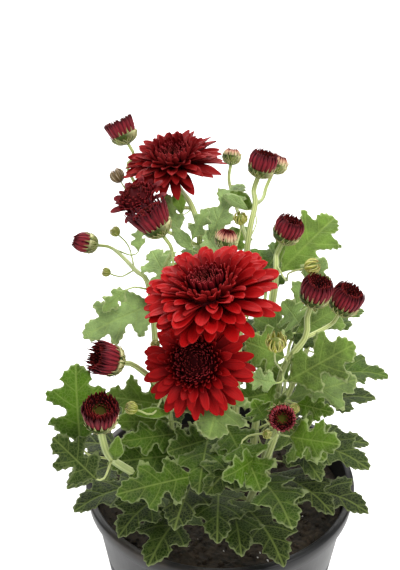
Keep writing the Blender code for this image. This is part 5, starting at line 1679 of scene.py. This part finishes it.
def pot_material():
    """Black moulded plastic with a soft gloss, faint scuffs and a little dust near the soil."""
    t = Tree("black_plastic", Specular_IOR_Level=0.2)
    where = t.place()
    cloudy = t.noise(where, 30.0, 4.0)
    grain = t.noise(where, 1400.0, 2.0)
    scuffs = t.noise(t.place((1, 1, 9)), 60.0, 5.0, 0.7)
    colour = t.blend(cloudy, (0.012, 0.012, 0.013), (0.022, 0.022, 0.023))
    colour = t.tint(colour, (0.09, 0.09, 0.088), t.between(scuffs, 0.6, 0.78), 0.25)
    dust = t.times(t.between(t.height(where), 0.112, 0.12), t.between(cloudy, 0.45, 0.7))
    colour = t.tint(colour, (0.12, 0.09, 0.06), dust, 0.35)
    return t.finish(colour, t.line(cloudy, 0.2, 0.3), t.math("ADD", grain, scuffs), 0.12, 0.0003)


def soil_material():
    """Near-black potting mix with brown fibres, darkened partly as painted shade under the leaves."""
    t = Tree("potting_mix")
    where = t.place()
    crumbs = t.noise(where, 260.0, 6.0, 0.7)
    colour = t.blend(t.between(crumbs, 0.3, 0.75), (0.006, 0.005, 0.003), (0.045, 0.03, 0.016))
    colour = t.tint(colour, (0.07, 0.045, 0.024), t.between(t.noise(where, 60.0), 0.5, 0.8), 0.5)
    colour = t.tint(colour, (0.06, 0.035, 0.018), t.tone, 0.3)
    return t.finish(colour, 0.95, crumbs, 0.8, 0.0012)


def grain_material():
    """A pale grain of perlite."""
    t = Tree("perlite")
    crumbs = t.noise(t.place(), 900.0)
    return t.finish(t.blend(crumbs, (0.5, 0.48, 0.43), (0.72, 0.7, 0.66)), 0.9, crumbs, 0.6, 0.0004)


def floor_material():
    """The plain pale floor."""
    t = Tree("pale_floor")
    return t.finish(t.blend(t.noise(t.place(), 3.0, 2.0), (0.93, 0.93, 0.93), (0.95, 0.95, 0.95)), 0.6)


# Building
def settle(piece, node):
    """Rides a finished piece on the plant's body in place of its CAD node."""
    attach(piece, "root")
    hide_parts(node)


def plant_head(name, kind, place, radius, looks):
    """A red head: the strips or petals, and the heart of an open bloom as a piece of its own."""
    if kind in TUBS:
        strip = looks[STRIP_STAGES.get(name, "bud")]
        bud = {"strip": strip, "floret": looks["floret"], "hollow": looks["hollow"]}
        settle(red_bud(name, kind, place, radius).piece("red_" + name, bud), name)
        return
    petal = {"petal": looks[BLOOM_COLOURS[name]], "dark": looks["dark"], "floret": looks["floret"]}
    settle(petals(name, kind, place, radius).piece(name.replace("bloom", "petals"), petal), name)
    if kind == "bloom":
        heart = {"floret": looks["floret"], "dark": looks["dark"]}
        made = florets(name, place, radius).piece(name.replace("bloom", "florets"), heart)
        settle(made, name.replace("bloom", "heart"))


def build():
    """Makes the materials and every piece of the plant and its pot."""
    looks = {key: petal_material(f"petal_{key}", *colours) for key, colours in PETAL_COLOURS.items()}
    looks |= {"dark": core_shade_material(), "floret": floret_material(), "hollow": hollow_material()}
    looks |= {key: strip_material(f"{key}_strips", *row) for key, row in STRIP_LOOKS.items()}
    greens = {"stalk": stalk_material(), "leaf": leaf_material()}
    greens |= {key: bract_material(f"{key}_bracts", *row) for key, row in BRACT_LOOKS.items()}
    greens["hair"] = hair_material()
    settle(nursery_pot().piece("nursery_pot", {"pot": pot_material()}), "pot")
    earth = {"soil": soil_material(), "grain": grain_material()}
    settle(potting_soil().piece("potting_soil", earth, smooth=False), "soil")
    coarse, fine = stalk_paths()
    for name in ROOTS:
        settle(foliage(name, coarse, fine).piece(name.replace("stem", "foliage"), greens), name)
    for name, (kind, middle, facing, diameter, _, _) in HEADS.items():
        if kind != "green":
            plant_head(name, kind, standing(middle, facing), diameter / 2, looks)


# Camera, floor and light
CAMERA_TARGET = (-0.011, 0.0, 0.242)
CAMERA_DISTANCE = 0.55
CAMERA_DOWN = 30
LENS = 70
SENSOR = 36
NEAREST = 0.01
FLOOR_SIZE = 12.0
FLOOR_DROP = 0.0005
LIGHT_TARGET = (0, 0, 0.22)
WORLD_STRENGTH = 0.62

# Lights: name, place, size, watts, colour
LIGHTS = (
    ("key", (0.55, -0.5, 1.15), 0.7, 13, (1.0, 0.99, 0.97)),
    ("fill", (-0.9, -0.5, 0.7), 0.9, 3, (0.98, 0.99, 1.0)),
    ("back", (-0.1, 1.2, 1.3), 1.8, 40, (1.0, 1.0, 0.99)),
)


def camera():
    """The scene's camera, which looks down on the blooms."""
    data = bpy.data.cameras.new("camera")
    data.lens = LENS
    data.sensor_width = SENSOR
    data.clip_start = NEAREST
    made = linked("camera", data)
    down = math.radians(CAMERA_DOWN)
    back = Vector((0, -math.cos(down), math.sin(down)))
    made.location = Vector(CAMERA_TARGET) + back * CAMERA_DISTANCE
    made.rotation_euler = (math.pi / 2 - down, 0, 0)
    bpy.context.scene.camera = made


def floor():
    """The floor, just below the pot's foot."""
    mesh = bpy.data.meshes.new("floor")
    half = FLOOR_SIZE / 2
    corners = [(-half, -half, 0), (half, -half, 0), (half, half, 0), (-half, half, 0)]
    mesh.from_pydata(corners, [], [(0, 1, 2, 3)])
    mesh.materials.append(floor_material())
    made = linked("floor", mesh)
    made.location.z = -FLOOR_DROP
    made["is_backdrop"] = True


def lights():
    """Round soft lights that face the blooms, and an even white world."""
    for name, place, size, watts, colour in LIGHTS:
        data = bpy.data.lights.new(name, "AREA")
        data.shape = "DISK"
        data.size = size
        data.energy = watts
        data.color = colour
        made = linked(name, data)
        made.location = place
        aim = Vector(LIGHT_TARGET) - Vector(place)
        made.rotation_euler = aim.to_track_quat("-Z", "Y").to_euler()
    world = bpy.data.worlds.new("studio")
    world.use_nodes = True
    sky = world.node_tree.nodes["Background"]
    sky.inputs[0].default_value = (1, 1, 1, 1)
    sky.inputs[1].default_value = WORLD_STRENGTH
    bpy.context.scene.world = world
    bpy.context.scene.view_settings.view_transform = "Standard"


camera()
floor()
lights()
build()

own_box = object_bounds()
{name: [list(corner) for corner in box] for name, box in (("cad", cad_box), ("visual", own_box))}
